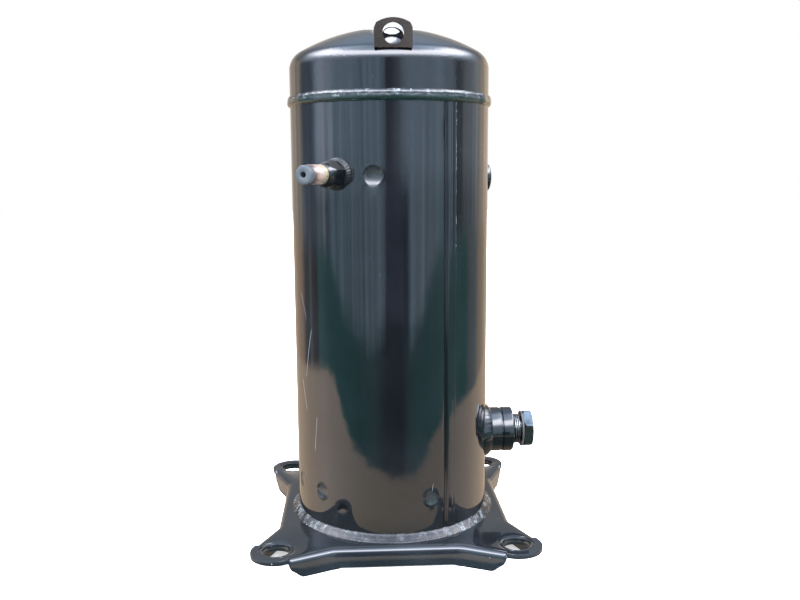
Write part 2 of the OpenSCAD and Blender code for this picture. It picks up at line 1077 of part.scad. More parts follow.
module floating_seal() {
    color("#3b3f42")
        ring(33.9, 22.1, fixed_top + 1.5, shell_top - 0.02);
}

module discharge_valve() {
    color(steel)
        translate([0, 0, fixed_top + 0.05])
            cylinder(h = 1.2, r = 9);
}

module valve_guard() {
    flange_t = 1.6;
    color(steel)
        difference() {
            union() {
                translate([0, 0, fixed_top])
                    cylinder(h = flange_t, r = 18.2);
                translate([0, 0, fixed_top])
                    cylinder(h = 6.4, r = 11.6);
            }
            translate([0, 0, fixed_top - 1])
                cylinder(h = 5.1, r = 9.3);
            translate([0, 0, fixed_top])
                cylinder(h = 10, r = 3);
            for (k = [0:2])
                rotate([0, 0, 60 * k])
                    translate([-20, -2, fixed_top + 2])
                        cube([40, 4, 2]);
            guard_screw_places()
                translate([0, 0, fixed_top - 1])
                    cylinder(h = 5, r = 1.5);
        }
}

module guard_screw_places() {
    for (x = [-1, 1])
        translate([x * 14.9, 0, 0])
            children();
}

module guard_screws() {
    color("#303338")
        guard_screw_places() {
            translate([0, 0, fixed_top])
                cylinder(h = 1.7, r = 1.5);
            translate([0, 0, fixed_top + 1.6])
                cylinder(h = 1.6, r = 2.7);
        }
}

// ---- what is drawn ----

body_shell();
seam_weld();
separator_plate();
top_cap();
top_weld();
bottom_cap();
base_plate();
base_weld();
lifting_lug();
oil_port_weld();
oil_port_boss();
oil_port_plug();
plug_seal();
stub_weld();
stub_boss();
stub_tube();
stub_stopper();
blanking_plug();
suction_weld();
suction_fitting();
suction_stopper();
discharge_weld();
discharge_fitting();
discharge_stopper();
terminal_cup();
terminal_pins();
pin_glass();
terminal_box();
terminal_cover();
cover_screw();
earth_screw();
stator_core();
stator_winding();
overload_protector();
motor_leads();
lead_block();
rotor_core();
rotor_cage();
upper_counterweight();
lower_counterweight();
crankshaft();
oil_pickup();
lower_frame();
lower_bearing();
thrust_washer();
main_frame();
main_bearing();
thrust_ring();
oldham_ring();
orbiting_scroll();
hub_bearing();
fixed_scroll();
scroll_bolts();
floating_seal();
discharge_valve();
valve_guard();
guard_screws();
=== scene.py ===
"""Looks of a hermetic scroll compressor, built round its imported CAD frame. Metres, +Z up, front is -Y."""

from math import acos, asin, atan2, cos, degrees, exp, hypot, pi, radians, sin, sqrt

import bmesh
import bpy
from mathutils import Matrix, Vector, noise
from mathutils.geometry import delaunay_2d_cdt


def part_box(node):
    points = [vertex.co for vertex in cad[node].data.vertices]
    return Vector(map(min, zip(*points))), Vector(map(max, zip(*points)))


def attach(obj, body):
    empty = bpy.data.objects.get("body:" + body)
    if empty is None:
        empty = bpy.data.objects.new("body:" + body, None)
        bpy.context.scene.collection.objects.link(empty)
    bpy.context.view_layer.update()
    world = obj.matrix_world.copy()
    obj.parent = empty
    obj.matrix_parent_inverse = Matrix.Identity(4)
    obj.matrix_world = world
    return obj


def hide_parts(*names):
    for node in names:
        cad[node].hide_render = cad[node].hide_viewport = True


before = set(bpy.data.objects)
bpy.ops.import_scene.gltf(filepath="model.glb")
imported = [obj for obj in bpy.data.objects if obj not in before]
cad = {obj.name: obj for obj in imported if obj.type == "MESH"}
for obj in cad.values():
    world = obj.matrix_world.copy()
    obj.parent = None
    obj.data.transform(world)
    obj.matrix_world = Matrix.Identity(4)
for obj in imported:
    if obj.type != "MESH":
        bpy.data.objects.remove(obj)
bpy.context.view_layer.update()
scene = bpy.context.scene
MM = 0.001


# ---- sizes, partly read from the frame ----

def mid(node):
    low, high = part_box(node)
    return (low + high) / 2


shell_low, shell_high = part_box("body_shell")
SHELL_R = (shell_high.x - shell_low.x) / 2
SHELL_TOP = shell_high.z
PLATE_TOP = shell_low.z
WALL = 4.1 * MM
CAP_LOW, CAP_TOP = (corner.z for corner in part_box("top_cap"))
BEAD_LOW, BEAD_HIGH = (corner.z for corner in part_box("top_weld"))
plate_low, plate_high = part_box("base_plate")
EAR_R = 20.5 * MM
FOOT = plate_high.x - EAR_R
FLANGE_LOW = plate_low.z
PLATE_HALF = 97 * MM
FLAT_HALF = 49 * MM

OIL_Z = mid("oil_port_boss").z
OIL_BOSS_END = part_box("oil_port_boss")[1].x
OIL_PLUG_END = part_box("oil_port_plug")[1].x
STUB_Z = mid("stub_tube").z
SUCTION_Z = mid("suction_fitting").z
DISCHARGE_Z = mid("discharge_fitting").z
TERMINAL_Z = mid("terminal_cover").z

# Angles of the ports, counted from the front towards +X
OIL_ANGLE = 90
STUB_ANGLE = -32
BUTTON_ANGLE = 100
SUCTION_ANGLE = 205
DISCHARGE_ANGLE = 180
TERMINAL_ANGLE = 157
SEAM_ANGLE = 33


# ---- camera ----

def add_camera():
    """Stands where the front view is seen from: a little left of the front, above the middle."""
    yaw, pitch, roll = radians(-2.941), radians(8.67), radians(-0.315)
    forward = Vector((-sin(yaw) * cos(pitch), cos(yaw) * cos(pitch), -sin(pitch)))
    level = Vector((cos(yaw), sin(yaw), 0))
    above = level.cross(forward)
    right = level * cos(roll) + above * sin(roll)
    up = above * cos(roll) - level * sin(roll)
    camera = bpy.data.objects.new("camera", bpy.data.cameras.new("camera"))
    camera.data.sensor_width = 36
    camera.data.lens = 38.136
    camera.data.clip_end = 60
    place = Matrix((right, up, -forward)).transposed().to_4x4()
    place.translation = Vector((-0.02928, -0.72576, 0.29712))
    camera.matrix_world = place
    scene.collection.objects.link(camera)
    scene.camera = camera


# ---- node trees ----

class Graph:
    """Short way to write a node tree: every call adds one node and returns its first output."""

    def __init__(self, tree):
        self.tree = tree
        tree.nodes.clear()

    def node(self, kind, inputs=None, **settings):
        node = self.tree.nodes.new(kind)
        for key, value in settings.items():
            setattr(node, key, value)
        for key, value in (inputs or {}).items():
            socket = node.inputs[key]
            if isinstance(value, bpy.types.NodeSocket):
                self.tree.links.new(value, socket)
            else:
                socket.default_value = value
        return node

    def math(self, operation, a, b=0.0, c=0.0):
        return self.node("ShaderNodeMath", {0: a, 1: b, 2: c}, operation=operation).outputs[0]

    def times(self, a, b):
        return self.math("MULTIPLY", a, b)

    def plus(self, a, b):
        return self.math("ADD", a, b)

    def minus(self, a, b):
        return self.math("SUBTRACT", a, b)

    def larger(self, a, b):
        return self.math("MAXIMUM", a, b)

    def split(self, vector):
        return self.node("ShaderNodeSeparateXYZ", {0: vector}).outputs

    def marked(self, name):
        """A value that the mesh stores at its points."""
        return self.node("ShaderNodeAttribute", attribute_name=name).outputs["Fac"]

    def position(self):
        return self.node("ShaderNodeTexCoord").outputs["Object"]

    def stretch(self, vector, scale):
        return self.node("ShaderNodeMapping", {"Vector": vector, "Scale": scale}).outputs[0]

    def noise(self, vector, scale, detail=3.0, rough=0.5):
        inputs = {"Vector": vector, "Scale": scale, "Detail": detail, "Roughness": rough}
        return self.node("ShaderNodeTexNoise", inputs).outputs["Fac"]

    def band(self, value, low, high, out_low=0.0, out_high=1.0, smooth=True):
        kind = "SMOOTHSTEP" if smooth else "LINEAR"
        inputs = {"Value": value, "From Min": low, "From Max": high, "To Min": out_low, "To Max": out_high}
        return self.node("ShaderNodeMapRange", inputs, interpolation_type=kind).outputs[0]

    def mix(self, share, a, b):
        node = self.tree.nodes.new("ShaderNodeMix")
        node.data_type = "RGBA"
        for socket, value in ((node.inputs[0], share), (node.inputs[6], a), (node.inputs[7], b)):
            if isinstance(value, bpy.types.NodeSocket):
                self.tree.links.new(value, socket)
            elif socket.type == "RGBA":
                socket.default_value = (*value, 1)
            else:
                socket.default_value = value
        return node.outputs[2]

    def ramp(self, value, stops):
        node = self.node("ShaderNodeValToRGB", {0: value})
        elements = node.color_ramp.elements
        while len(elements) < len(stops):
            elements.new(0.5)
        for element, (place, colour) in zip(elements, stops):
            element.position = place
            element.color = (*colour, 1)
        return node.outputs[0]

    def bump(self, height, distance, strength=1.0, normal=None):
        inputs = {"Height": height, "Distance": distance, "Strength": strength}
        if normal is not None:
            inputs["Normal"] = normal
        return self.node("ShaderNodeBump", inputs).outputs[0]


def new_material(name):
    material = bpy.data.materials.new(name)
    material.use_nodes = True
    return material, Graph(material.node_tree)


def finish_material(graph, sockets, constants=None):
    """Adds the surface shader: sockets are linked or plain inputs, constants are set on it directly."""
    shader = graph.node("ShaderNodeBsdfPrincipled", {**sockets, **(constants or {})})
    output = graph.node("ShaderNodeOutputMaterial")
    graph.tree.links.new(shader.outputs[0], output.inputs["Surface"])


def specks(graph, where, cells, radius, share):
    """Scattered small dots: one in some of the cells of a Voronoi pattern."""
    texture = graph.node("ShaderNodeTexVoronoi", {"Vector": where, "Scale": cells, "Randomness": 1.0})
    inside = graph.band(texture.outputs["Distance"], radius * cells, radius * cells * 0.55)
    pick = graph.node("ShaderNodeSeparateColor", {0: texture.outputs["Color"]}).outputs[0]
    chosen = graph.math("GREATER_THAN", pick, 1 - share)
    return graph.times(inside, chosen)


def shell_angle(graph, where):
    """Angle round the shell in degrees from the front towards +X, and the height."""
    x, y, height = graph.split(where)
    angle = graph.math("ARCTAN2", x, graph.times(y, -1.0))
    return graph.times(angle, 180 / pi), height


def scratch(graph, angle, height, start, lean, low, high, width, wander):
    """Mask of one thin scratch that climbs from low to high, leaning by lean degrees."""
    climb = graph.band(height, low, high, 0.0, lean, smooth=False)
    wobble = graph.times(graph.minus(wander, 0.5), 1.6)
    line = graph.plus(graph.plus(climb, start), wobble)
    off = graph.math("ABSOLUTE", graph.minus(angle, line))
    thin = graph.band(off, width, width * 0.4)
    above = graph.band(height, low, low + 0.004)
    below = graph.band(height, high, high - 0.004)
    return graph.times(thin, graph.times(above, below))


def enamel(name, peel=0.5, dust=0.02, wear=False, scratches=(), tint=(0.0016, 0.0018, 0.0022),
           dull_dimple=False):
    """Gloss black enamel with orange peel, dust specks, and chips where the mesh marks wear."""
    material, g = new_material(name)
    where = g.position()
    height = g.split(where)[2]
    cloud = g.noise(where, 22, 4)
    fine = g.noise(where, 900, 2)

    colour = g.mix(g.band(cloud, 0.35, 0.7), tint, tuple(c * 1.7 for c in tint))
    gloss = g.plus(g.band(cloud, 0.3, 0.75, 0.02, 0.055), g.band(fine, 0.4, 0.8, 0.0, 0.02))

    # Orange peel, coarser and stronger near the top of the shell
    patchy = g.band(g.noise(where, 14, 2), 0.42, 0.62)
    upper = g.times(g.band(height, 0.24, 0.34), patchy)
    strength = g.band(upper, 0.0, 1.0, 0.10 * peel, 0.9 * peel, smooth=False)
    peel_height = g.times(g.noise(where, 520, 3, 0.6), strength)
    waves = g.bump(g.noise(where, 60, 1, 0.3), 0.00012, 0.5)
    normal = g.bump(peel_height, 0.00030 * max(peel, 0.2), 1.0, waves)

    marks = specks(g, where, 95, 0.00042, dust)
    marks = g.larger(marks, specks(g, where, 260, 0.0003, dust * 0.7))
    if scratches:
        angle, _ = shell_angle(g, where)
        wander = g.noise(g.stretch(where, (1, 1, 1)), 30, 3)
        for line in scratches:
            marks = g.larger(marks, scratch(g, angle, height, *line, wander))
        grit = g.times(specks(g, where, 420, 0.00028, 0.35), g.band(height, 0.16, 0.24))
        strip = g.times(g.band(angle, 35.6, 36.6), g.band(angle, 41.4, 40.4))
        marks = g.larger(marks, g.times(grit, strip))
    colour = g.mix(marks, colour, (0.10, 0.11, 0.12))
    gloss = g.plus(gloss, g.times(marks, 0.4))

    if dull_dimple:
        inside = g.marked("dimple")
        gloss = g.plus(gloss, g.times(inside, 0.22))
        colour = g.mix(inside, colour, (0.006, 0.007, 0.0075))

    metallic = 0.0
    if wear:
        edge = g.marked("wear")
        torn = g.plus(g.times(g.noise(where, 260, 4, 0.62), 0.75), g.times(edge, 0.5))
        chips = g.times(g.band(torn, 0.78, 0.82), g.band(edge, 0.05, 0.3))
        colour = g.mix(chips, colour, (0.50, 0.50, 0.50))
        gloss = g.plus(gloss, g.times(chips, 0.3))
        metallic = g.times(chips, 0.85)
        normal = g.bump(g.minus(1.0, chips), 0.00012, 0.8, normal)
    finish_material(g, {"Base Color": colour, "Roughness": gloss, "Normal": normal, "Metallic": metallic},
                    {"IOR": 1.5})
    return material


def metal(name, colour, dark, gloss=(0.25, 0.45), grain=0.3, grain_scale=(300, 300, 300), spots=0.0,
          groove_shade=False):
    """Bare metal: mottled colour, fine directional grain, uneven gloss, and painted shade in the thread roots
    where the mesh marks them.
    """
    material, g = new_material(name)
    where = g.position()
    cloud = g.noise(where, 90, 5, 0.6)
    fine = g.noise(g.stretch(where, grain_scale), 1.0, 3)
    shade = g.mix(g.band(cloud, 0.3, 0.72), dark, colour)
    shade = g.mix(g.band(fine, 0.55, 0.8, 0.0, 0.35), shade, tuple(c * 0.6 for c in dark))
    if spots:
        shade = g.mix(g.times(g.band(g.noise(where, 400, 3), 0.58, 0.66), spots), shade, (0.05, 0.035, 0.02))
    # Painted shade: darkens the thread roots that the mesh marks, as if shade fell in them
    if groove_shade:
        marked = g.marked("groove_shade")
        shade = g.mix(marked, shade, (0.03, 0.03, 0.028))
    rough = g.band(cloud, 0.25, 0.75, gloss[1], gloss[0])
    normal = g.bump(fine, 0.00006, grain)
    finish_material(g, {"Base Color": shade, "Roughness": rough, "Normal": normal}, {"Metallic": 1.0})
    return material


def plastic(name, colour, rough=0.5, texture=0.4, pale=(0.5, 0.5, 0.5), dust=0.1):
    """Moulded plastic or rubber: fine cast texture, rubbed and dusty patches."""
    material, g = new_material(name)
    where = g.position()
    cloud = g.noise(where, 60, 4, 0.6)
    fine = g.noise(where, 1500, 2)
    shade = g.mix(g.band(cloud, 0.45, 0.8, 0.0, dust), colour, pale)
    gloss = g.band(cloud, 0.3, 0.7, rough, min(rough + 0.18, 1.0))
    finish_material(g, {"Base Color": shade, "Roughness": gloss, "Normal": g.bump(fine, 0.00008, texture)},
                    {"IOR": 1.5})
    return material


def heat_tinted_brass(name, low, high):
    """Drawn tube that was brazed: rosy near the boss, yellow and pale further out, with drawing lines."""
    material, g = new_material(name)
    where = g.position()
    x, y, _ = g.split(where)
    out = g.math("SQRT", g.plus(g.math("POWER", x, 2.0), g.math("POWER", y, 2.0)))
    along = g.band(g.plus(out, g.times(g.noise(where, 130, 3), 0.004)), low, high, smooth=False)
    shade = g.ramp(along, [(0.0, (0.12, 0.09, 0.04)), (0.10, (0.52, 0.42, 0.16)), (0.28, (0.62, 0.53, 0.36)),
                           (0.52, (0.62, 0.49, 0.40)), (0.75, (0.58, 0.41, 0.34)), (0.93, (0.38, 0.26, 0.22)),
                           (1.0, (0.16, 0.11, 0.10))])
    cloud = g.noise(where, 240, 4, 0.6)
    shade = g.mix(g.band(cloud, 0.50, 0.78, 0.0, 0.35), shade, (0.34, 0.25, 0.15))
    rough = g.band(cloud, 0.3, 0.7, 0.25, 0.45)
    normal = g.bump(g.noise(where, 700, 3), 0.00005, 0.5)
    finish_material(g, {"Base Color": shade, "Roughness": rough, "Normal": normal}, {"Metallic": 0.9})
    return material


def weld_enamel(name, silver=0.0, dust=0.2, gloss=(0.08, 0.2), ior=1.5, painted_grass_reflection=(0.002, 0.0022, 0.0025),
                sides=None):
    """Painted weld metal: crusty bump, a painted reflection of grass on its downward-facing half, and bare
    silvery grains on its upward-facing half, partly real bare metal and partly a painted sparkle.

    With sides given, the grains thin out towards the front, inside that angle."""
    material, g = new_material(name)
    where = g.position()
    grain = g.noise(where, 900, 4, 0.65)
    ripple = g.noise(where, 260, 3)
    bare = g.times(g.band(g.noise(where, 140, 4, 0.6), 0.50, 0.62), silver)
    bare = g.times(bare, g.band(grain, 0.42, 0.6))
    # Which way the surface faces drives painted light: downward faces take a painted reflection of grass, and
    # the bare grains stay on upward faces as a painted sparkle; dust also gathers on upward faces
    facing = g.split(g.node("ShaderNodeNewGeometry").outputs["Normal"])[2]
    upper = g.band(facing, -0.1, 0.45)
    bare = g.times(bare, upper)
    marks = g.times(specks(g, where, 300, 0.00045, dust), g.band(upper, 0.0, 0.4, 0.1, 1.0))
    if sides:
        angle, _ = shell_angle(g, where)
        share = g.band(g.math("ABSOLUTE", angle), sides - 18, sides + 12, 0.25, 1.0)
        bare = g.times(bare, share)
        marks = g.times(marks, share)
    # Painted reflection: downward-facing weld takes the painted_grass_reflection colour
    shade = g.mix(upper, painted_grass_reflection, (0.002, 0.0022, 0.0025))
    shade = g.mix(bare, shade, (0.15, 0.17, 0.18))
    shade = g.mix(marks, shade, (0.45, 0.47, 0.48))
    rough = g.plus(g.band(ripple, 0.3, 0.7, *gloss), g.times(bare, 0.3))
    normal = g.bump(grain, 0.00016, g.band(upper, 0, 1, 0.15, 0.8), g.bump(ripple, 0.00035, 0.6))
    finish_material(g, {"Base Color": shade, "Roughness": rough, "Normal": normal,
                        "Metallic": g.times(bare, 0.25)}, {"IOR": ior})
    return material


# ---- surroundings ----

def add_surroundings():
    """Soft surroundings by direction: ground, hedge, walls and sky, in bands that the enamel mirrors."""
    scale = 10.0
    world = bpy.data.worlds.new("surroundings")
    world.use_nodes = True
    scene.world = world
    g = Graph(world.node_tree)
    direction = g.node("ShaderNodeTexCoord").outputs["Generated"]
    angle, climb = shell_angle(g, direction)
    turn = g.band(angle, -180, 180, 0.0, 1.0, smooth=False)
    climb = g.times(g.math("ARCSINE", climb), 180 / pi)

    def round_the_sky(stops):
        return g.ramp(turn, [((a + 180) / 360, tuple(c / scale for c in colour)) for a, colour in stops])

    def edge_height(stops):
        grey = g.ramp(turn, [((a + 180) / 360, (e / 40,) * 3) for a, e in stops])
        return g.times(g.node("ShaderNodeSeparateColor", {0: grey}).outputs[0], -40.0)

    ground = round_the_sky([
        (-180, (.80, .65, .50)), (-150, (.95, .75, .52)), (-135, (1.4, 1.1, .8)), (-120, (1.75, 1.35, 1.0)),
        (-105, (2.15, 1.75, 1.4)), (-90, (2.6, 2.15, 1.8)), (-70, (2.4, 2.05, 1.7)), (-40, (1.9, 1.65, 1.35)),
        (0, (1.55, 1.35, 1.05)), (40, (1.5, 1.3, 1.05)), (85, (1.8, 1.55, 1.3)), (115, (1.75, 1.38, 1.06)),
        (150, (.95, .72, .50)), (180, (.80, .65, .50))])
    hedge = round_the_sky([
        (-180, (.75, .60, .45)), (-150, (.90, .68, .48)), (-128, (1.02, .75, .54)), (-121, (.27, .30, .30)),
        (-113, (.30, .33, .33)), (-110, (.70, .72, .74)), (-107, (.30, .30, .30)), (-98, (.24, .26, .23)),
        (-93, (.33, .78, .80)), (-80, (.20, .65, .64)), (-60, (.13, .60, .58)), (-40, (.10, .45, .42)),
        (-22, (.15, .42, .42)), (-13, (.08, .22, .23)), (-8, (.05, .09, .10)), (10, (.04, .06, .08)),
        (15, (.12, .25, .26)), (22, (.14, .43, .42)), (45, (.19, .60, .60)), (60, (.25, .65, .62)),
        (96, (.13, .50, .45)), (102, (.50, .58, .58)), (117, (.52, .64, .64)), (122, (.95, .76, .60)),
        (150, (.97, .74, .52)), (180, (.75, .60, .45))])
    walls = round_the_sky([
        (-180, (.80, .70, .60)), (-150, (.90, .75, .58)), (-128, (1.1, .95, .80)), (-121, (.72, .75, .85)),
        (-113, (.42, .55, .70)), (-102, (.42, .52, .70)), (-95, (.90, 1.1, 1.3)), (-87, (.75, 1.1, 1.4)),
        (-84, (1.9, 1.8, 1.9)), (-81, (.65, .90, 1.2)), (-70, (.92, 1.4, 1.75)), (-10, (1.05, 1.45, 1.8)),
        (-7, (.16, .21, .33)),
        (17, (.14, .20, .30)), (21, (1.15, 1.65, 2.1)), (35, (1.35, 1.8, 2.15)), (45, (1.08, 1.5, 1.78)),
        (65, (1.0, 1.5, 1.75)), (76, (.95, 1.3, 1.5)), (78, (.28, .38, .42)), (88, (.28, .38, .42)),
        (91, (.64, .75, .83)),
        (113, (.74, .82, .90)), (120, (1.15, 1.03, .85)), (132, (1.25, 1.0, .78)), (152, (1.05, .86, .65)),
        (180, (.80, .70, .60))])
    upper = round_the_sky([
        (-180, (.90, .80, .70)), (-150, (.95, .80, .65)), (-128, (1.2, 1.02, .86)), (-123, (1.0, .95, .85)),
        (-119, (.38, .48, .60)), (-101, (.38, .52, .72)), (-96, (1.6, 2.1, 2.8)), (-88, (2.6, 3.1, 3.8)),
        (-74, (2.7, 3.3, 4.1)), (-67, (1.5, 2.1, 2.7)), (-20, (1.4, 2.0, 2.55)), (-9, (1.1, 1.6, 2.0)),
        (-6, (.18, .25, .36)), (-1, (.20, .27, .38)), (3, (.60, .70, .85)), (10, (.75, .95, 1.15)),
        (14, (1.6, 2.2, 2.8)), (62, (1.5, 2.05, 2.6)), (76, (1.25, 1.5, 1.75)), (78, (.36, .42, .48)),
        (88, (.36, .42, .48)), (91, (1.15, 1.3, 1.45)), (112, (1.1, 1.3, 1.4)),
        (120, (1.25, 1.25, 1.2)), (128, (1.5, 1.22, 1.0)), (150, (1.35, 1.1, .85)), (180, (.90, .80, .70))])
    steep = g.band(climb, 0, 90, 0.0, 1.0, smooth=False)
    front_sky = g.ramp(steep, [
        (0.10, (.075, .095, .115)), (0.24, (.12, .14, .17)), (0.31, (.22, .26, .32)), (0.40, (.85, .88, 1.0)),
        (0.55, (1.0, 1.0, 1.1)), (0.66, (.28, .34, .44)), (1.0, (.09, .12, .17))])
    back_sky = g.ramp(steep, [
        (0.08, (.045, .041, .037)), (0.20, (.026, .025, .024)), (0.36, (.026, .028, .030)),
        (0.58, (.05, .065, .09)),
        (1.0, (.09, .12, .17))])
    behind = g.band(g.math("ABSOLUTE", angle), 95, 140)
    sky = g.mix(behind, front_sky, back_sky)
    sky = g.node("ShaderNodeVectorMath", {0: sky, "Scale": 2.0}, operation="SCALE").outputs[0]
    # Narrow bright patch behind the crown, for what is seen through the hole in the lug
    off_apex = g.math("ABSOLUTE", g.minus(angle, 177.4))
    apex_glow = g.times(g.band(off_apex, 2.6, 1.8), g.band(climb, 6, 9))
    bright = g.ramp(steep, [(0.08, (.17, .18, .19)), (0.22, (.31, .32, .34)), (0.37, (.52, .54, .58)),
                            (0.6, (.9, .93, .98))])
    near_ground = round_the_sky([
        (-180, (.30, .24, .18)), (-120, (.60, .50, .40)), (-90, (.50, .50, .42)), (-60, (.12, .20, .17)),
        (60, (.10, .20, .17)), (90, (.40, .36, .30)), (120, (.50, .42, .34)), (180, (.30, .24, .18))])
    ground = g.mix(g.band(climb, -22.5, -27), ground, near_ground)

    ground_edge = edge_height([
        (-180, 12), (-120, 13), (-82, 13.2), (-72, 14), (-62, 16.3), (-50, 18.2), (-30, 19.6), (0, 20.6),
        (25, 20.4), (35, 19.5), (45, 18.3), (54, 17.3), (62, 16.5), (84, 15.8), (105, 15), (120, 14.2),
        (150, 12)])
    hedge_edge = edge_height([
        (-180, 3), (-100, 5), (-80, 5), (-60, 9), (-45, 10.5), (-25, 11.8), (0, 10), (20, 11.5), (35, 9.5),
        (43, 7.5), (54, 5.5), (90, 4), (180, 3)])

    def step(edge, soft):
        return g.band(g.minus(climb, edge), -soft, soft)

    colour = g.mix(step(ground_edge, 0.35), ground, hedge)
    streak_place = g.node("ShaderNodeCombineXYZ", {0: g.times(angle, 0.16), 1: g.times(climb, 0.008)})
    streaks = g.band(g.noise(streak_place.outputs[0], 1.0, 4, 0.65), 0.32, 0.68, 0.5, 1.35, smooth=False)
    above = g.mix(g.band(climb, -2.5, 1.5), walls, upper)
    above = g.node("ShaderNodeVectorMath", {0: above, "Scale": streaks}, operation="SCALE").outputs[0]
    colour = g.mix(step(hedge_edge, 1.6), colour, above)
    colour = g.mix(g.band(climb, 9, 22), colour, sky)
    colour = g.mix(apex_glow, colour, bright)
    light = g.node("ShaderNodeBackground", {"Color": colour, "Strength": scale})
    output = g.node("ShaderNodeOutputWorld")
    g.tree.links.new(light.outputs[0], output.inputs["Surface"])


def add_stage():
    """Pale floor that the flanges stand on, clear from below, and a plain pale backdrop all round."""
    floor_material, g = new_material("stage_floor")
    grain = g.noise(g.position(), 3, 3)
    shade = g.mix(g.band(grain, 0.3, 0.7), (0.78, 0.78, 0.78), (0.82, 0.82, 0.82))
    matt = g.node("ShaderNodeBsdfDiffuse", {"Color": shade})
    glow = g.node("ShaderNodeEmission", {"Color": (1, 1, 1, 1), "Strength": 0.55})
    lit = g.node("ShaderNodeAddShader", {0: matt.outputs[0], 1: glow.outputs[0]})
    clear = g.node("ShaderNodeBsdfTransparent")
    under = g.node("ShaderNodeNewGeometry").outputs["Backfacing"]
    shown = g.node("ShaderNodeMixShader", {0: under, 1: lit.outputs[0], 2: clear.outputs[0]})
    output = g.node("ShaderNodeOutputMaterial")
    g.tree.links.new(shown.outputs[0], output.inputs["Surface"])
    side = 6.0
    floor = mesh_object("stage_floor", [(-side, -side, FLANGE_LOW), (side, -side, FLANGE_LOW),
                                        (side, side, FLANGE_LOW), (-side, side, FLANGE_LOW)], [(0, 1, 2, 3)],
                        floor_material)
    floor.visible_glossy = False

    backdrop_material, g = new_material("stage_backdrop")
    light = g.node("ShaderNodeEmission", {"Color": (1, 1, 1, 1), "Strength": 1.0})
    output = g.node("ShaderNodeOutputMaterial")
    g.tree.links.new(light.outputs[0], output.inputs["Surface"])
    rows = [ring_points(side * cos(e), 64, side * sin(e)) for e in (radians(k) for k in range(-10, 90, 10))]
    verts, faces = stitch(rows, wrap=True)
    backdrop = mesh_object("stage_backdrop", verts, faces, backdrop_material)
    backdrop.visible_glossy = False
    backdrop.visible_diffuse = False
    backdrop.visible_transmission = False
    backdrop.visible_shadow = False


# ---- mesh tools ----

def mesh_object(name, verts, faces, material, sharp=35):
    mesh = bpy.data.meshes.new(name)
    mesh.from_pydata([tuple(v) for v in verts], [], faces)
    mesh.validate()
    mesh.update()
    mesh.polygons.foreach_set("use_smooth", [True] * len(mesh.polygons))
    mesh.set_sharp_from_angle(angle=radians(sharp))
    mesh.materials.append(material)
    thing = bpy.data.objects.new(name, mesh)
    scene.collection.objects.link(thing)
    return thing


def ring_points(r, count, z):
    return [Vector((r * cos(2 * pi * k / count), r * sin(2 * pi * k / count), z)) for k in range(count)]


def stitch(rows, wrap=True, close=False):
    """Joins rows of points into quads. wrap closes each row, close joins the last row to the first."""
    verts = [p for row in rows for p in row]
    count = len(rows[0])
    faces = []
    last = len(rows) if close else len(rows) - 1
    for i in range(last):
        a, b = i * count, (i + 1) % len(rows) * count
        for k in range(count if wrap else count - 1):
            n = (k + 1) % count
            faces.append((a + k, a + n, b + n, b + k))
    return verts, faces


def fan_caps(verts, faces, count, first=True, last=True):
    """Closes the first and last rows of a wrapped stitch with one face each."""
    if first:
        faces.append(tuple(range(count - 1, -1, -1)))
    if last:
        base = len(verts) - count
        faces.append(tuple(range(base, base + count)))


def revolve(profile, columns, place=Matrix.Identity(4), warp=None, closed=False):
    """Turns a profile of (radius, height) about local Z. columns are angles in degrees from local -Y."""
    rows = []
    for i, (r, z) in enumerate(profile):
        row = []
        for a in columns:
            rr, zz = warp(a, i, r, z) if warp else (r, z)
            row.append(place @ Vector((rr * sin(radians(a)), -rr * cos(radians(a)), zz)))
        rows.append(row)
    return stitch(rows, wrap=True, close=closed)


def even(count):
    return [-180 + 360 * k / count for k in range(count)]


def port(angle, z):
    """Local frame of a port: X along the shell's skin, Y up, Z outwards, origin on the axis."""
    a = radians(angle)
    place = Matrix(((cos(a), 0, sin(a)), (sin(a), 0, -cos(a)), (0, 1, 0))).to_4x4()
    place.translation = Vector((0, 0, z))
    return place


def piece(name, verts, faces, material, node, body="housing", sharp=35):
    thing = mesh_object(name, verts, faces, material, sharp)
    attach(thing, body)
    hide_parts(*([node] if isinstance(node, str) else node))
    return thing


def lumps(point, scale, seed=0.0):
    """Smooth noise from -1 to 1, the same on each run."""
    return noise.noise(Vector(point) * scale + Vector((seed, seed * 1.7, seed * 0.3)))


def ease(t):
    t = min(max(t, 0.0), 1.0)
    return t * t * (3 - 2 * t)


def arc(cx, cz, r, start, end, steps):
    """Points on a circle in a profile, angles in degrees from the radius direction towards +Z."""
    return [(cx + r * cos(radians(start + (end - start) * k / steps)),
             cz + r * sin(radians(start + (end - start) * k / steps))) for k in range(steps + 1)]


# ---- shell and cap ----

UPPER_DIMPLES = [(-11.2, 0.2937), (128.8, 0.2937), (248.8 - 360, 0.2937)]
LOWER_DIMPLES = [(a, 0.037) for a in (-46.6, -69.9, 20.5, 110, 140, 230 - 360)]


def dimple_depth(angle, z):
    """How far the skin is pressed in by the plug welds, with a slight rim round each."""
    depth = 0.0
    for places, radius, deep, rim in ((UPPER_DIMPLES, 7.4 * MM, 2.1 * MM, 0.12 * MM),
                                      (LOWER_DIMPLES, 6.3 * MM, 0.9 * MM, 0.25 * MM)):
        for a, height in places:
            turn = (angle - a + 180) % 360 - 180
            off = hypot(radians(turn) * SHELL_R, z - height)
            if off < radius:
                depth += deep * (1 - (off / radius) ** 2) ** 0.8
            elif off < radius * 1.35:
                depth -= rim * (1 - (off / radius - 1) / 0.35) ** 2
    return depth


def shell_columns():
    fine = [a for a, _ in UPPER_DIMPLES + LOWER_DIMPLES]
    columns, a = [], -180.0
    while a < 180 - 1e-6:
        columns.append(a)
        near = min(abs((a - f + 180) % 360 - 180) for f in fine)
        step = 0.45 if near < 7.5 else 2.0
        if 26.5 <= a < 31.5 or 36 <= a < 41:
            step = 0.25
        a += step
    return columns


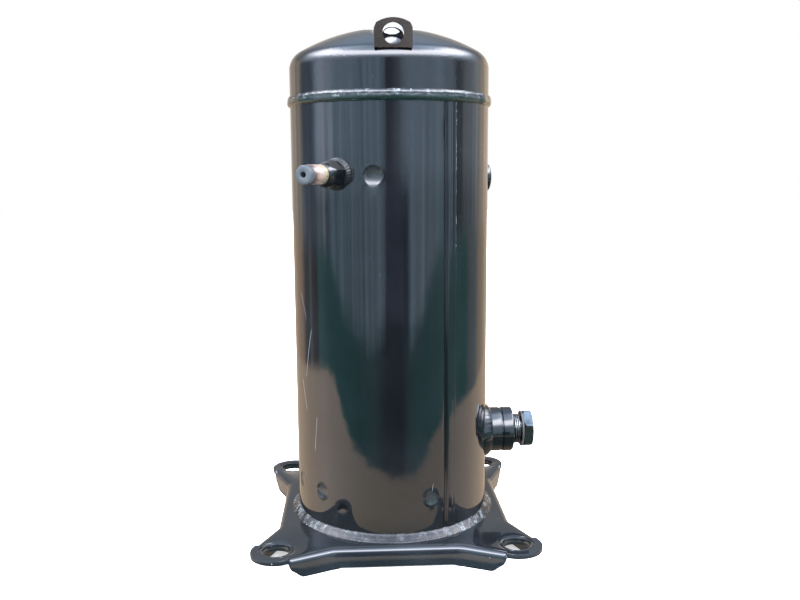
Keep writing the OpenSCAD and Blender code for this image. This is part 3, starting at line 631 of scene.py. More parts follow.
def shell_rows():
    rows, z = [], PLATE_TOP
    while z < SHELL_TOP - 1e-6:
        rows.append(z)
        near = min(abs(z - h) for h in (0.037, 0.2937))
        z += 0.6 * MM if near < 10 * MM else 5 * MM
    return rows + [SHELL_TOP]


def build_shell(material):
    heights = shell_rows()
    profile = [(SHELL_R, z) for z in heights] + [(SHELL_R - WALL, SHELL_TOP), (SHELL_R - WALL, PLATE_TOP)]

    def press(angle, i, r, z):
        if i >= len(heights):
            return r, z
        oval = exp(-(((z - 0.328) / 0.007) ** 2))
        groove = exp(-(((angle - 29.3) / (0.9 + 0.6 * oval)) ** 2)) * (1.3 + 0.3 * oval) * MM
        wave = 0.06 * MM * lumps((angle * 0.02, z * 9, 1), 1.0)
        return r - dimple_depth(angle, z) - groove + wave, z

    verts, faces = revolve(profile, shell_columns(), warp=press, closed=True)
    skin = piece("shell_skin", verts, faces, material, "body_shell", sharp=50)
    marks = [min(dimple_depth(degrees(atan2(v[0], -v[1])), v[2]) / (0.6 * MM), 1) for v in verts]
    mark_points(skin, "dimple", marks)
    return skin


def build_seam(material):
    """The seam's flattened weld: a low band with a soft ridge on its right."""
    low, high = (corner.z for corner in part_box("seam_weld"))
    section = [(-2.9, -0.5), (-2.9, 0.02), (-2.6, 0.40), (-2.1, 0.66), (-1.2, 0.80), (0.0, 0.84), (1.2, 0.80),
               (1.9, 0.62), (2.35, 0.84), (2.75, 0.84), (3.1, 0.42), (3.35, 0.02), (3.35, -0.5)]
    rows = []
    steps = 130
    for k in range(steps + 1):
        z = low + (high - low) * k / steps
        swell = 1 + 0.10 * lumps((0, 0, z), 60) + 0.05 * lumps((3, 0, z), 220)
        drift = 0.12 * lumps((7, 0, z), 25)
        row = []
        for turn, rise in section:
            a = radians(SEAM_ANGLE + turn + drift)
            r = SHELL_R + rise * MM * (swell if rise > 0.1 else 1)
            row.append(Vector((r * sin(a), -r * cos(a), z)))
        rows.append(row)
    verts, faces = stitch(rows)
    fan_caps(verts, faces, len(section))
    band = piece("seam_band", verts, faces, material, "seam_weld", sharp=60)
    ridge = [section[k % len(section)] in section[9:11] for k in range(len(verts))]
    worn = [(0.52 + 0.24 * ease((v[2] - 0.2) / 0.06)) * r for v, r in zip(verts, ridge)]
    mark_points(band, "wear", worn)
    return band


def cap_profile(inset):
    """Skirt, knuckle and crown of the domed cap, from its rim to just off the axis."""
    knuckle, crown = 15 * MM, 150 * MM
    knuckle_z = 379 * MM
    crown_z = CAP_TOP - crown
    tilt = degrees(atan2(SHELL_R - knuckle, knuckle_z - crown_z))
    points = [(SHELL_R - inset, CAP_LOW + (knuckle_z - CAP_LOW) * k / 5) for k in range(5)]
    points += arc(SHELL_R - knuckle, knuckle_z, knuckle - inset, 0, 90 - tilt, 14)
    points += arc(0, crown_z, crown - inset, 90 - tilt, 89.7, 22)[1:]
    return points


def build_cap(material):
    outside, inside = cap_profile(0), cap_profile(WALL)

    def dent(angle, i, r, z):
        a = radians(angle)
        wave = 0.10 * MM * lumps((cos(a) * 2.2, sin(a) * 2.2, z * 30), 1.0, 5)
        return (r + wave * (r / SHELL_R), z - wave * 0.3) if 5 < i < len(outside) - 3 else (r, z)

    columns = even(180)
    verts, faces = revolve(outside, columns, warp=dent)
    fan_caps(verts, faces, len(columns), first=False)
    inner_verts, inner_faces = revolve(inside, columns)
    fan_caps(inner_verts, inner_faces, len(columns), first=False)
    base = len(verts)
    count = len(columns)
    faces += [tuple(base + k for k in reversed(face)) for face in inner_faces]
    faces += [(k, base + k, base + (k + 1) % count, (k + 1) % count) for k in range(count)]
    return piece("cap_skin", verts + inner_verts, faces, material, "top_cap", sharp=50)


def build_girth_weld(material):
    """Double bead round the joint of shell and cap: smooth below, crusty above, with the overlap's lump."""
    section = [(-0.6, BEAD_LOW + 0.1 * MM), (0.6, BEAD_LOW + 0.3 * MM), (1.5, BEAD_LOW + 1.0 * MM),
               (2.1, BEAD_LOW + 2.1 * MM), (2.3, BEAD_LOW + 3.3 * MM), (2.2, BEAD_LOW + 4.4 * MM),
               (2.0, BEAD_LOW + 5.2 * MM), (1.95, BEAD_LOW + 5.8 * MM), (1.9, BEAD_LOW + 6.5 * MM),
               (1.65, BEAD_LOW + 7.3 * MM), (1.15, BEAD_LOW + 8.1 * MM), (0.45, BEAD_LOW + 8.7 * MM),
               (-0.6, BEAD_HIGH - 0.05 * MM)]

    def crust(angle, i, r, z):
        a = radians(angle)
        where = (sin(a) * SHELL_R, -cos(a) * SHELL_R, z)
        edge = 0 < i < len(section) - 1
        rough = ease((i - 4) / 3)
        wave = (0.04 + 0.16 * rough) * lumps(where, 420) + 0.13 * rough * lumps(where, 1000, 3)
        wave += 0.12 * lumps(where, 90, 9)
        turn = (angle - 59 + 180) % 360 - 180
        lump = 1.25 * exp(-((turn / 4.6) ** 2))
        return r + (wave + lump) * MM * edge, z + 0.25 * MM * lumps(where, 150, 4)

    profile = [(SHELL_R + rise * MM, z) for rise, z in section]
    verts, faces = revolve(profile, even(720), warp=crust, closed=True)
    return piece("girth_bead", verts, faces, material, "top_weld", sharp=80)


def build_bottom_cap(material):
    low, high = (corner.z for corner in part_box("bottom_cap"))
    dish, t = 220 * MM, 3.5 * MM
    edge = SHELL_R - WALL - 0.05 * MM
    outside = arc(0, low + dish, dish, -89.8, -degrees(acos(edge / dish)), 16) + [(edge, high)]
    inside = [(edge - t, high), (edge - t, low + 15 * MM)]
    inside += arc(0, low + dish, dish - t, -degrees(acos((edge - t - MM) / (dish - t))), -89.8, 16)
    columns = even(144)
    verts, faces = revolve(outside + inside, columns)
    fan_caps(verts, faces, len(columns))
    return piece("bottom_dish", verts, faces, material, "bottom_cap", sharp=50)


# ---- base ----

def outline_eighth():
    """Points and outward normals from the middle of a flange to the tip of an ear."""
    reach = hypot(FOOT - PLATE_HALF, FOOT - FLAT_HALF)
    lean = atan2(FOOT - FLAT_HALF, FOOT - PLATE_HALF) - asin(EAR_R / reach)
    run = sqrt(reach ** 2 - EAR_R ** 2)
    corner = Vector((PLATE_HALF, FLAT_HALF))
    edge_normal = Vector((sin(lean), -cos(lean)))
    points = [(Vector((PLATE_HALF, FLAT_HALF * k / 10)), Vector((1, 0))) for k in range(10)]
    bend_steps = 6
    for k in range(bend_steps + 1):
        t = k / bend_steps
        a = (lean - pi / 2) * ease(t)
        spot = corner + Vector((0, -1)) * 5 * MM * max(0, 1 - 2 * t) + (
            Vector((cos(lean), sin(lean))) * 5 * MM * max(0, 2 * t - 1))
        sag = 0.9 * MM * (1 - abs(2 * t - 1)) ** 1.5
        points.append((spot + Vector((cos(a), sin(a))) * sag * 0.3, Vector((cos(a), sin(a)))))
    steps = 26
    for k in range(1, steps + 1):
        spot = corner + Vector((cos(lean), sin(lean))) * (5 * MM + (run - 5 * MM) * k / steps)
        points.append((spot, edge_normal))
    steps = 16
    for k in range(1, steps + 1):
        a = lean - pi / 2 + (pi / 4 - (lean - pi / 2)) * k / steps
        points.append((Vector((FOOT, FOOT)) + EAR_R * Vector((cos(a), sin(a))), Vector((cos(a), sin(a)))))
    return points


def plate_outline():
    """The plate's whole outline as (point, outward normal), anticlockwise."""
    half = outline_eighth()
    quarter = half + [(Vector((p.y, p.x)), Vector((n.y, n.x))) for p, n in reversed(half[:-1])][:-1]
    whole = []
    for k in range(4):
        a = Matrix.Rotation(k * pi / 2, 2)
        whole += [(a @ p, a @ n) for p, n in quarter]
    return whole


def flange_share(p):
    """How far the edge at p is turned down: 1 on a flange, 0 round an ear, and the flange's lowest height."""
    out = (abs(p.x) + abs(p.y)) / sqrt(2)
    along = min(abs(p.x), abs(p.y))
    share = 1 - ease((out - 137.0 * MM) / (2.0 * MM))
    slope = ease((out - 126.7 * MM) / (11.3 * MM))
    low = FLANGE_LOW + (-6 * MM - FLANGE_LOW) * slope
    if along < FLAT_HALF:
        low += 1.3 * MM * ease((FLAT_HALF - along) / (5 * MM))
    return share, low


def edge_section(p, n):
    """Section of the plate's edge at an outline point, from the flat top round to the flat underside."""
    share, low = flange_share(p)
    bend, t, nick = 4.6 * MM, PLATE_TOP, 0.7 * MM
    inner = bend - t
    turned = [(bend + 2 * MM, t)] + [(bend - bend * cos(radians(a)), t - bend + bend * sin(radians(a)))
                                     for a in range(90, -1, -15)]
    turned += [(0, (t - bend + low) / 2), (0, low + nick), (0.2 * MM, low + 0.2 * MM), (nick, low),
               (t - nick, low), (t - 0.2 * MM, low + 0.2 * MM), (t, low + nick)]
    turned += [(bend - inner * cos(radians(a)), t - bend + inner * sin(radians(a))) for a in (0, 45, 90)]
    turned += [(bend + 2 * MM, 0)]
    flat_in = [6.6, 4.6, 3.6, 2.7, 1.9, 1.3, 0.9, 0.7]
    flat = [(s * MM, t) for s in flat_in] + [(0.2 * MM, t - 0.2 * MM), (0, t - nick),
                                             (0, t - nick - 0.3 * MM),
                                            (0, t / 2), (0, nick), (0.2 * MM, 0.2 * MM), (nick, 0)]
    flat += [(1.6 * MM, 0), (2.6 * MM, 0), (4.0 * MM, 0), (bend + 2 * MM, 0)]
    points = []
    for (s1, z1), (s0, z0) in zip(turned, flat):
        s, z = s0 + (s1 - s0) * share, z0 + (z1 - z0) * share
        points.append(Vector((p.x - n.x * s, p.y - n.y * s, z)))
    return points


def fill_flat(outer, holes, z, upward):
    """Triangles of a flat face between an outer loop and round holes, as (verts, faces)."""
    points = [Vector((v.x, v.y)) for v in outer]
    edges = [(k, (k + 1) % len(outer)) for k in range(len(outer))]
    mouths = []
    for hole in holes:
        base = len(points)
        points += [Vector((v.x, v.y)) for v in hole]
        edges += [(base + k, base + (k + 1) % len(hole)) for k in range(len(hole))]
        centre = sum((Vector((v.x, v.y)) for v in hole), Vector((0, 0))) / len(hole)
        mouths.append((centre, (Vector((hole[0].x, hole[0].y)) - centre).length))
    flat, _, faces, *_ = delaunay_2d_cdt(points, edges, [], 1, 1e-7)
    kept = []
    for face in faces:
        a, b, c = (flat[i] for i in face)
        middle = (a + b + c) / 3
        if any((middle - centre).length < r * 0.999 for centre, r in mouths):
            continue
        turn = (b - a).cross(c - a)
        kept.append(tuple(face) if (turn > 0) == upward else tuple(reversed(face)))
    return [Vector((p.x, p.y, z)) for p in flat], kept


def build_base(material):
    outline = plate_outline()
    rows = [edge_section(p, n) for p, n in outline]
    verts, faces = stitch(rows, wrap=False, close=True)
    faces = [tuple(reversed(face)) for face in faces]
    wear = []
    for p, n in outline:
        share, _ = flange_share(p)
        for k in range(len(rows[0])):
            rim = 0.6 if 8 <= k <= 15 else (0.2 if k in (7, 16) else 0.0)
            if share > 0.5:
                rim = (0.6 if 9 <= k <= 14 else 0.0) * (1.0 if abs(p.x) + abs(p.y) > 0.15 else 0.5)
            wear.append(rim)

    # Mounting holes: shallow pressed ring, rolled mouth, short collar below
    collar = [(15.2, 4.0), (14.4, 3.75), (13.6, 3.5), (12.9, 3.6), (12.3, 3.85), (11.7, 3.9), (11.2, 3.6),
              (11.0, 3.0), (11.0, 0.5), (11.0, -1.6), (11.3, -2.0), (13.2, -2.0), (13.5, -1.7), (13.6, -0.3),
              (14.2, 0.0), (15.2, 0.0)]
    count = 64
    top_holes, low_holes = [], []
    for sx in (-1, 1):
        for sy in (-1, 1):
            ring = [[Vector((sx * FOOT + r * MM * cos(2 * pi * k / count),
                             sy * FOOT + r * MM * sin(2 * pi * k / count),
                             z * MM)) for k in range(count)] for r, z in collar]
            more, more_faces = stitch(ring)
            base = len(verts)
            verts += more
            faces += [tuple(base + i for i in reversed(face)) for face in more_faces]
            ring_wear = [0.35 if 4 <= i <= 7 or 9 < i < 13 else 0.0 for i in range(len(collar))]
            wear += [value for value in ring_wear for _ in range(count)]
            top_holes.append(ring[0])
            low_holes.append(ring[-1])
    mouth_r = 60 * MM
    top_mouth, low_mouth = ring_points(mouth_r, 128, PLATE_TOP), ring_points(mouth_r, 128, 0)
    more, more_faces = stitch([top_mouth, low_mouth])
    base = len(verts)
    verts += more
    faces += [tuple(base + i for i in reversed(face)) for face in more_faces]
    wear += [0.0] * len(more)
    for loop, holes, z, upward in (([row[0] for row in rows], top_holes + [top_mouth], PLATE_TOP, True),
                                   ([row[-1] for row in rows], low_holes + [low_mouth], 0.0, False)):
        more, more_faces = fill_flat(loop, holes, z, upward)
        base = len(verts)
        verts += more
        faces += [tuple(base + i for i in face) for face in more_faces]
        wear += [0.0] * len(more)

    base_piece = piece("base_pressing", verts, faces, material, "base_plate", sharp=40)
    mark_points(base_piece, "wear", wear)
    weld_close_points(base_piece)
    base_piece.data.set_sharp_from_angle(angle=radians(40))
    return base_piece


def weld_close_points(thing):
    """Merges the points that neighbouring patches share, so that the mesh is closed."""
    work = bmesh.new()
    work.from_mesh(thing.data)
    bmesh.ops.remove_doubles(work, verts=work.verts, dist=0.00002)
    bmesh.ops.recalc_face_normals(work, faces=work.faces)
    work.to_mesh(thing.data)
    work.free()


def build_base_weld(material):
    section = [(-1.0, 9.2), (0.3, 9.3), (0.8, 8.6), (1.7, 7.7), (2.8, 6.9), (3.8, 6.0), (4.6, 5.2),
               (5.3, 4.6),
               (5.9, 4.15), (6.2, 3.4), (2.0, 3.2), (-1.0, 3.6)]

    def crust(angle, i, r, z):
        a = radians(angle)
        where = (sin(a) * SHELL_R, -cos(a) * SHELL_R, z)
        rough = 0.35 + 0.65 * ease((angle + 35) / 60) * ease((110 - angle) / 40)
        outer = 1 <= i <= 8
        wave = rough * (0.08 * lumps(where, 300) + 0.05 * lumps(where, 800, 2)) + 0.4 * lumps(where, 45, 7)
        return r + wave * MM * outer, z + 0.45 * wave * MM * outer

    profile = [(SHELL_R + out * MM, z * MM) for out, z in section]
    verts, faces = revolve(profile, even(720), warp=crust, closed=True)
    return piece("base_fillet", verts, faces, material, "base_weld", sharp=80)


# ---- lug ----

def prism(name, loop, low, high, place=Matrix.Identity(4)):
    """A closed prism over a loop of (x, y) points, for cutting and joining."""
    verts = [place @ Vector((x, y, z)) for z in (low, high) for x, y in loop]
    count = len(loop)
    faces = [(k, (k + 1) % count, count + (k + 1) % count, count + k) for k in range(count)]
    faces += [tuple(range(count - 1, -1, -1)), tuple(range(count, 2 * count))]
    mesh = bpy.data.meshes.new(name)
    mesh.from_pydata([tuple(v) for v in verts], [], faces)
    thing = bpy.data.objects.new(name, mesh)
    scene.collection.objects.link(thing)
    return thing


def mark_points(thing, name, values):
    """Stores one value at each point of a mesh, for its material to read."""
    thing.data.attributes.new(name, "FLOAT", "POINT").data.foreach_set("value", values)


def circle_loop(r, count, x=0.0, y=0.0):
    return [(x + r * cos(2 * pi * k / count), y + r * sin(2 * pi * k / count)) for k in range(count)]


def carved(base, steps, bevel, segments=3, limit=32):
    """Applies booleans and a bevel, and gives back plain points and faces in the frame."""
    for operation, other in steps:
        modifier = base.modifiers.new("carve", "BOOLEAN")
        modifier.operation = operation
        modifier.solver = "EXACT"
        modifier.object = other
    edge = base.modifiers.new("edges", "BEVEL")
    edge.width = bevel
    edge.segments = segments
    edge.limit_method = "ANGLE"
    edge.angle_limit = radians(limit)
    edge.use_clamp_overlap = True
    bpy.context.view_layer.update()
    solid = base.evaluated_get(bpy.context.evaluated_depsgraph_get())
    mesh = bpy.data.meshes.new_from_object(solid)
    verts = [v.co.copy() for v in mesh.vertices]
    faces = [tuple(p.vertices) for p in mesh.polygons]
    for thing in [base] + [other for _, other in steps]:
        bpy.data.objects.remove(thing)
    return verts, faces


def build_lug(material):
    """Upright plate with a rounded top and a hole, and the leg that runs back over the crown."""
    low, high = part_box("lifting_lug")
    half = (high.x - low.x) / 2
    front, thick = low.y, 4.6 * MM
    bulge, corner_z, hole_z = 24 * MM, 403 * MM, 397.5 * MM
    arc_half = asin((half - 1.6 * MM) / bulge)
    centre_z = high.z - bulge
    loop = [(-half, low.z), (half, low.z), (half, corner_z - 1.5 * MM)]
    loop += [(bulge * sin(arc_half - 2 * arc_half * k / 20),
              centre_z + bulge * cos(arc_half - 2 * arc_half * k / 20))
             for k in range(21)]
    loop += [(-half, corner_z - 1.5 * MM)]
    upright = Matrix(((1, 0, 0, 0), (0, 0, -1, front + thick), (0, 1, 0, 0), (0, 0, 0, 1)))
    plate = prism("lug_plate", loop, 0, thick, upright)
    side = [(front + 0.0004, low.z), (front + 0.0004, low.z + 4 * MM), (front + thick, 0.395),
            (-0.055, 0.4068),
            (-0.052, 0.4065), (-0.052, 0.400), (-0.070, 0.385)]
    across = Matrix(((0, 0, 1, 0), (1, 0, 0, 0), (0, 1, 0, 0), (0, 0, 0, 1)))
    leg = prism("lug_leg", side, -half + 0.0003, half - 0.0003, across)
    hole = prism("lug_hole", circle_loop(8 * MM, 64, 0, hole_z), -60 * MM, 20 * MM, upright)
    verts, faces = carved(plate, [("UNION", leg), ("DIFFERENCE", hole)], 0.7 * MM)
    thing = piece("lug", verts, faces, material, "lifting_lug", sharp=5)
    mark_points(thing, "wear", [0.3 if hypot(v.x, v.z - hole_z) < 9.2 * MM else 0.0 for v in verts])
    return thing


# ---- fittings ----

def collar(name, place, foot, neck, bore, neck_z, crown, material, node, ripple=0.25):
    """Weld collar: its foot follows the shell's curve, its neck hugs the boss."""
    steps = 12
    count = 160

    def skin(x):
        return sqrt(SHELL_R ** 2 - x ** 2)

    rows = []
    for i in range(steps + 1):
        t = i / steps
        r = foot + (neck - foot) * t
        row = []
        for k in range(count):
            a = 2 * pi * k / count
            wave = ripple * MM * (lumps((cos(a) * foot, sin(a) * foot, neck_z), 260) * 0.8
                                  + 0.5 * sin(a * 34 + 2.5 * t)) * sin(pi * t)
            rr = r + wave * 0.6
            rise = (t ** 1.25) + crown * sin(pi * t)
            ground = skin(min(abs(rr * cos(a)), SHELL_R * 0.98)) - 0.3 * MM
            z = ground + (neck_z - ground) * min(rise, 1.0) + wave * 0.4
            row.append(place @ Vector((rr * cos(a), rr * sin(a), z)))
        rows.append(row)
    for r, z in ((bore, neck_z - 0.2 * MM), (bore, SHELL_R - 6 * MM), (foot, SHELL_R - 6 * MM)):
        row = []
        for k in range(count):
            x, y = r * cos(2 * pi * k / count), r * sin(2 * pi * k / count)
            low = min(z, skin(x) - 1.5 * MM) if z < neck_z - 2 * MM else z
            row.append(place @ Vector((x, y, low)))
        rows.append(row)
    verts, faces = stitch(rows, close=True)
    return piece(name, verts, faces, material, node, sharp=70)


def turned_part(name, place, profile, material, node, body="housing", count=96, warp=None,
                axis_ends=False, sharp=35):
    """A turned piece from (radius, distance out) in mm. axis_ends: the profile starts and ends on the axis."""
    verts, faces = revolve([(r * MM, z * MM) for r, z in profile], even(count), place, warp,
                           closed=not axis_ends)
    if axis_ends:
        fan_caps(verts, faces, count)
    return piece(name, verts, faces, material, node, body, sharp)


def build_oil_port(paint, steel, thread_steel, rubber):
    place = port(OIL_ANGLE, OIL_Z)
    end = OIL_BOSS_END / MM
    collar("oil_port_collar", place, 24.5 * MM, 19.6 * MM, 19.0 * MM, 87.5 * MM, 0.16, paint,
           "oil_port_weld", 0.3)
    turned_part("oil_port_ring", place, [
        (13.3, 78), (19.5, 78), (19.5, 95.4), (19.3, 95.8), (18.75, 96.1), (18.7, 96.9), (19.2, 97.3),
        (19.5, 97.7),
        (19.5, end - 1.6), (19.3, end - 0.8), (18.8, end - 0.3), (18.0, end), (14.4, end), (13.8, end - 0.3),
        (13.35, end - 1.0), (13.3, end - 2.5)], paint, "oil_port_boss", count=144)

    # Plug: shank with a true helical thread, hex head with a turned washer face
    pitch, crest, root = 1.6, 13.18, 12.1
    hex_low, hex_end = 116.1, OIL_PLUG_END / MM
    rows_z = [88 + 2.2 * k for k in range(8)] + [105.8 + 0.15 * k for k in range(57)]

    def thread(angle, i, r, z):
        if i == 0 or i >= len(rows_z):
            return r, z
        phase = (z / MM / pitch - angle / 360) % 1
        tooth = min(max(1.6 * (1 - abs(2 * phase - 1)) - 0.3, 0), 1)
        out = ease((114.2 - z / MM) / 0.6)
        return (root + (crest - root) * tooth * out) * MM, z

    shank = [(root, z) for z in rows_z] + [(root, hex_low + 0.2)]
    count = 96
    verts, faces = revolve([(r * MM, z * MM) for r, z in shank], even(count), place, thread)
    fan_caps(verts, faces, count)

    flats = 30.0
    turn = 83

    def hexed(angle, i, r, z):
        across = (flats / 2) / cos(radians((angle + turn + 30) % 60 - 30))
        return min(r, (across - 0.05) * MM), z

    head = [(0.05, hex_low), (14.4, hex_low), (15.6, hex_low + 0.25), (16.4, hex_low + 0.9),
            (17.4, hex_low + 1.5),
            (17.4, hex_end - 1.5), (16.6, hex_end - 0.85), (15.4, hex_end - 0.3), (14.3, hex_end),
            (9.0, hex_end),
            (8.6, hex_end - 0.35), (0.05, hex_end - 0.35)]
    more, more_faces = revolve([(r * MM, z * MM) for r, z in head], even(360), place, hexed)
    fan_caps(more, more_faces, 360)
    shank = piece("oil_plug_shank", verts, faces, thread_steel, "oil_port_plug", "oil_plug",
                  sharp=50)
    back = place.inverted()
    # Painted shade for the thread roots: the deeper a point sits below the crest, the darker it is painted
    depth = [(crest - hypot(p.x, p.y) / MM) / (crest - root) for p in (back @ Vector(v) for v in verts)]
    mark_points(shank, "groove_shade", [min(max(1.25 * d - 0.2, 0), 1) for d in depth])
    piece("oil_plug_head", more, more_faces, steel, "oil_port_plug", "oil_plug", sharp=30)
    turned_part("oil_washer", place, [
        (13.25, 114.5), (15.3, 114.45), (15.55, 114.7), (15.6, 115.2), (15.55, 115.8), (15.3, 116.05),
        (13.25, 116.05)], rubber, "plug_seal", "oil_plug")


def build_stub(paint, weld, brass, rubber):
    place = port(STUB_ANGLE, STUB_Z)
    collar("stub_collar", place, 13 * MM, 10.2 * MM, 9 * MM, 84.6 * MM, 0.02, weld, "stub_weld", 0.4)
    end = 103.5

    def hexed(angle, i, r, z):
        off = radians((angle + 12 + 30 + 30) % 60 - 30)
        flat = 9.45 * MM / cos(off)
        soft = 0.35 * MM * (abs(off) / radians(30)) ** 4
        return (min(r, flat - soft) if i < 4 else r), z

    hexagon = [(10.7, 78), (10.7, 94.8), (10.4, 96.3), (10.0, 97.6), (9.4, 99.4), (8.8, 101.2), (8.3, 102.4),
               (7.8, 103.2), (7.4, end), (7.05, end - 0.3), (7.05, 78)]
    turned_part("stub_hexagon", place, hexagon, paint, "stub_boss", count=240, warp=hexed,
                sharp=50)
    turned_part("stub_pipe", place, [
        (5.6, 79.2), (7.05, 79.2), (7.05, 103.8), (7.35, 104.0), (7.35, 120.5), (7.15, 121), (5.8, 121),
        (5.6, 120.7)], brass, "stub_tube", count=128)
    build_stopper("stub_bung", place, 7.05, 5.55, 121, 5.3, 2.25, rubber, "stub_stopper", "stub_plug")


def build_stopper(name, place, lip, shank, start, length, dimple, material, node, body):
    end = start + length
    profile = [(0.05, start - 12), (shank - 0.8, start - 12), (shank, start - 11)]
    for k in range(3):
        z = start - 9.5 + 3 * k
        profile += [(shank - 0.35, z), (shank, z + 1.0), (shank, z + 1.8)]
    profile += [(shank, start + 0.05), (lip, start + 0.05), (lip, end - 1.1), (lip - 0.35, end - 0.35),
                (lip - 1.1, end),
                (dimple + 0.5, end), (dimple + 0.1, end - 0.25), (dimple, end - 0.8), (dimple, end - 8),
                (0.05, end - 8)]

    def sag(angle, i, r, z):
        return r - 0.05 * MM * (1 + lumps((angle * 0.03, z * 300, 2), 1)) * (r > (dimple + 0.6) * MM), z

    return turned_part(name, place, profile, material, node, body, axis_ends=True, warp=sag)


def build_button(paint):
    place = port(BUTTON_ANGLE, mid("blanking_plug").z)
    proud = 82.6 + 4.6
    turned_part("blank_button", place, [
        (0.05, 76), (12.5, 76), (12.6, 80), (12.55, proud - 2.4), (12.2, proud - 1.4), (11.4, proud - 0.6),
        (10.2, proud - 0.1), (9.4, proud), (9.0, proud - 0.15), (8.6, proud), (0.05, proud)],
                paint, "blanking_plug", axis_ends=True, count=128)


def build_back_stub(label, angle, height, r, foot, end, neck_z, length, dimple, weld, copper, rubber):
    place = port(angle, height)
    root = r - 0.3
    collar(label + "_collar", place, foot * MM, (r + 0.05) * MM, (root - 0.4) * MM, neck_z * MM, 0.12, weld,
           label + "_weld", 0.35)
    free_from = 90
    turned_part(label + "_pipe", place, [
        (r - 2, 79.2), (root, 79.2), (root, free_from - 0.2), (r, free_from + 0.1), (r, end - 0.6),
        (r - 0.25, end - 0.1),
        (r - 0.6, end), (r - 1.7, end), (r - 2, end - 0.4)], copper, label + "_fitting",
                count=128)
    build_stopper(label + "_bung", place, r - 0.3, r - 2.05, end, length, dimple, rubber, label + "_stopper",
                  label + "_plug")


# ---- terminal box ----

def rounded_loop(width, height, r, steps=8):
    loop = []
    for cx, cy, start in ((1, 1, 0), (-1, 1, 90), (-1, -1, 180), (1, -1, 270)):
        for k in range(steps + 1):
            a = radians(start + 90 * k / steps)
            loop.append((cx * (width / 2 - r) + r * cos(a), cy * (height / 2 - r) + r * sin(a)))
    return loop


def build_terminal_box(paint, plastic_cover):
    place = port(TERMINAL_ANGLE, TERMINAL_Z)
    width, height, wall = 70 * MM, 78 * MM, 2.5 * MM
    box_floor, rim = 84 * MM, 126 * MM
    box = prism("box", rounded_loop(width, height, 6 * MM), 60 * MM, rim, place)
    pocket = prism("pocket", rounded_loop(width - 2 * wall, height - 2 * wall, 3.5 * MM), box_floor,
                   rim + 9 * MM, place)
    shell_cut = prism("shell_cut", circle_loop(SHELL_R - 0.05 * MM, 128), 0, 0.4)
    cup_cut = prism("cup_cut", circle_loop(22 * MM, 64), 50 * MM, rim, place)
    post = prism("post", circle_loop(4.2 * MM, 32, 24 * MM, -26 * MM), box_floor - MM, rim - 1.5 * MM, place)
    post_cut = prism("post_cut", circle_loop(2.1 * MM, 24, 24 * MM, -26 * MM), box_floor + 10 * MM,
                     rim + MM, place)
    cable_cut = prism("cable_cut", circle_loop(10.5 * MM, 48, 0, -105 * MM), -60 * MM, -30 * MM,
                      place @ Matrix.Rotation(radians(-90), 4, "X"))
    verts, faces = carved(box, [("DIFFERENCE", pocket), ("DIFFERENCE", shell_cut), ("DIFFERENCE", cup_cut),
                                       ("DIFFERENCE", cable_cut), ("UNION", post), ("DIFFERENCE", post_cut)],
                          0.5 * MM, 2)
    piece("terminal_case", verts, faces, paint, "terminal_box", sharp=20)

    cover_w, cover_h = 74.6 * MM, 82.6 * MM
    lip_low, face = rim - 3.5 * MM, rim + 2.6 * MM
    cover = prism("cover", rounded_loop(cover_w, cover_h, 8 * MM), lip_low, face, place)
    hollow = prism("hollow", rounded_loop(cover_w - 4.2 * MM, cover_h - 4.2 * MM, 6 * MM), lip_low - 9 * MM,
                   rim + 0.05 * MM, place)
    cuts = [("DIFFERENCE", hollow)]
    ledge = prism("ledge", rounded_loop(cover_w - 16 * MM, cover_h - 34 * MM, 4 * MM), face - 0.7 * MM,
                  face + MM, place)
    cuts.append(("DIFFERENCE", ledge))
    for k in range(-2, 3):
        rib = prism("rib", [(x * MM, (y + 7.0 * k) * MM) for x,
                            y in ((-24, -1.1), (24, -1.1), (24, 1.1), (-24, 1.1))],
                    face - 1.0 * MM, face - 0.02 * MM, place)
        cuts.append(("UNION", rib))
    screw_cut = prism("screw_cut", circle_loop(2.4 * MM, 32, 24 * MM, -26 * MM), 120 * MM, 140 * MM, place)
    cuts.append(("DIFFERENCE", screw_cut))
    verts, faces = carved(cover, cuts, 0.45 * MM, 2)
    piece("terminal_lid_shell", verts, faces, plastic_cover, "terminal_cover",
          "terminal_lid", sharp=20)


# ---- finish every carried-over node ----

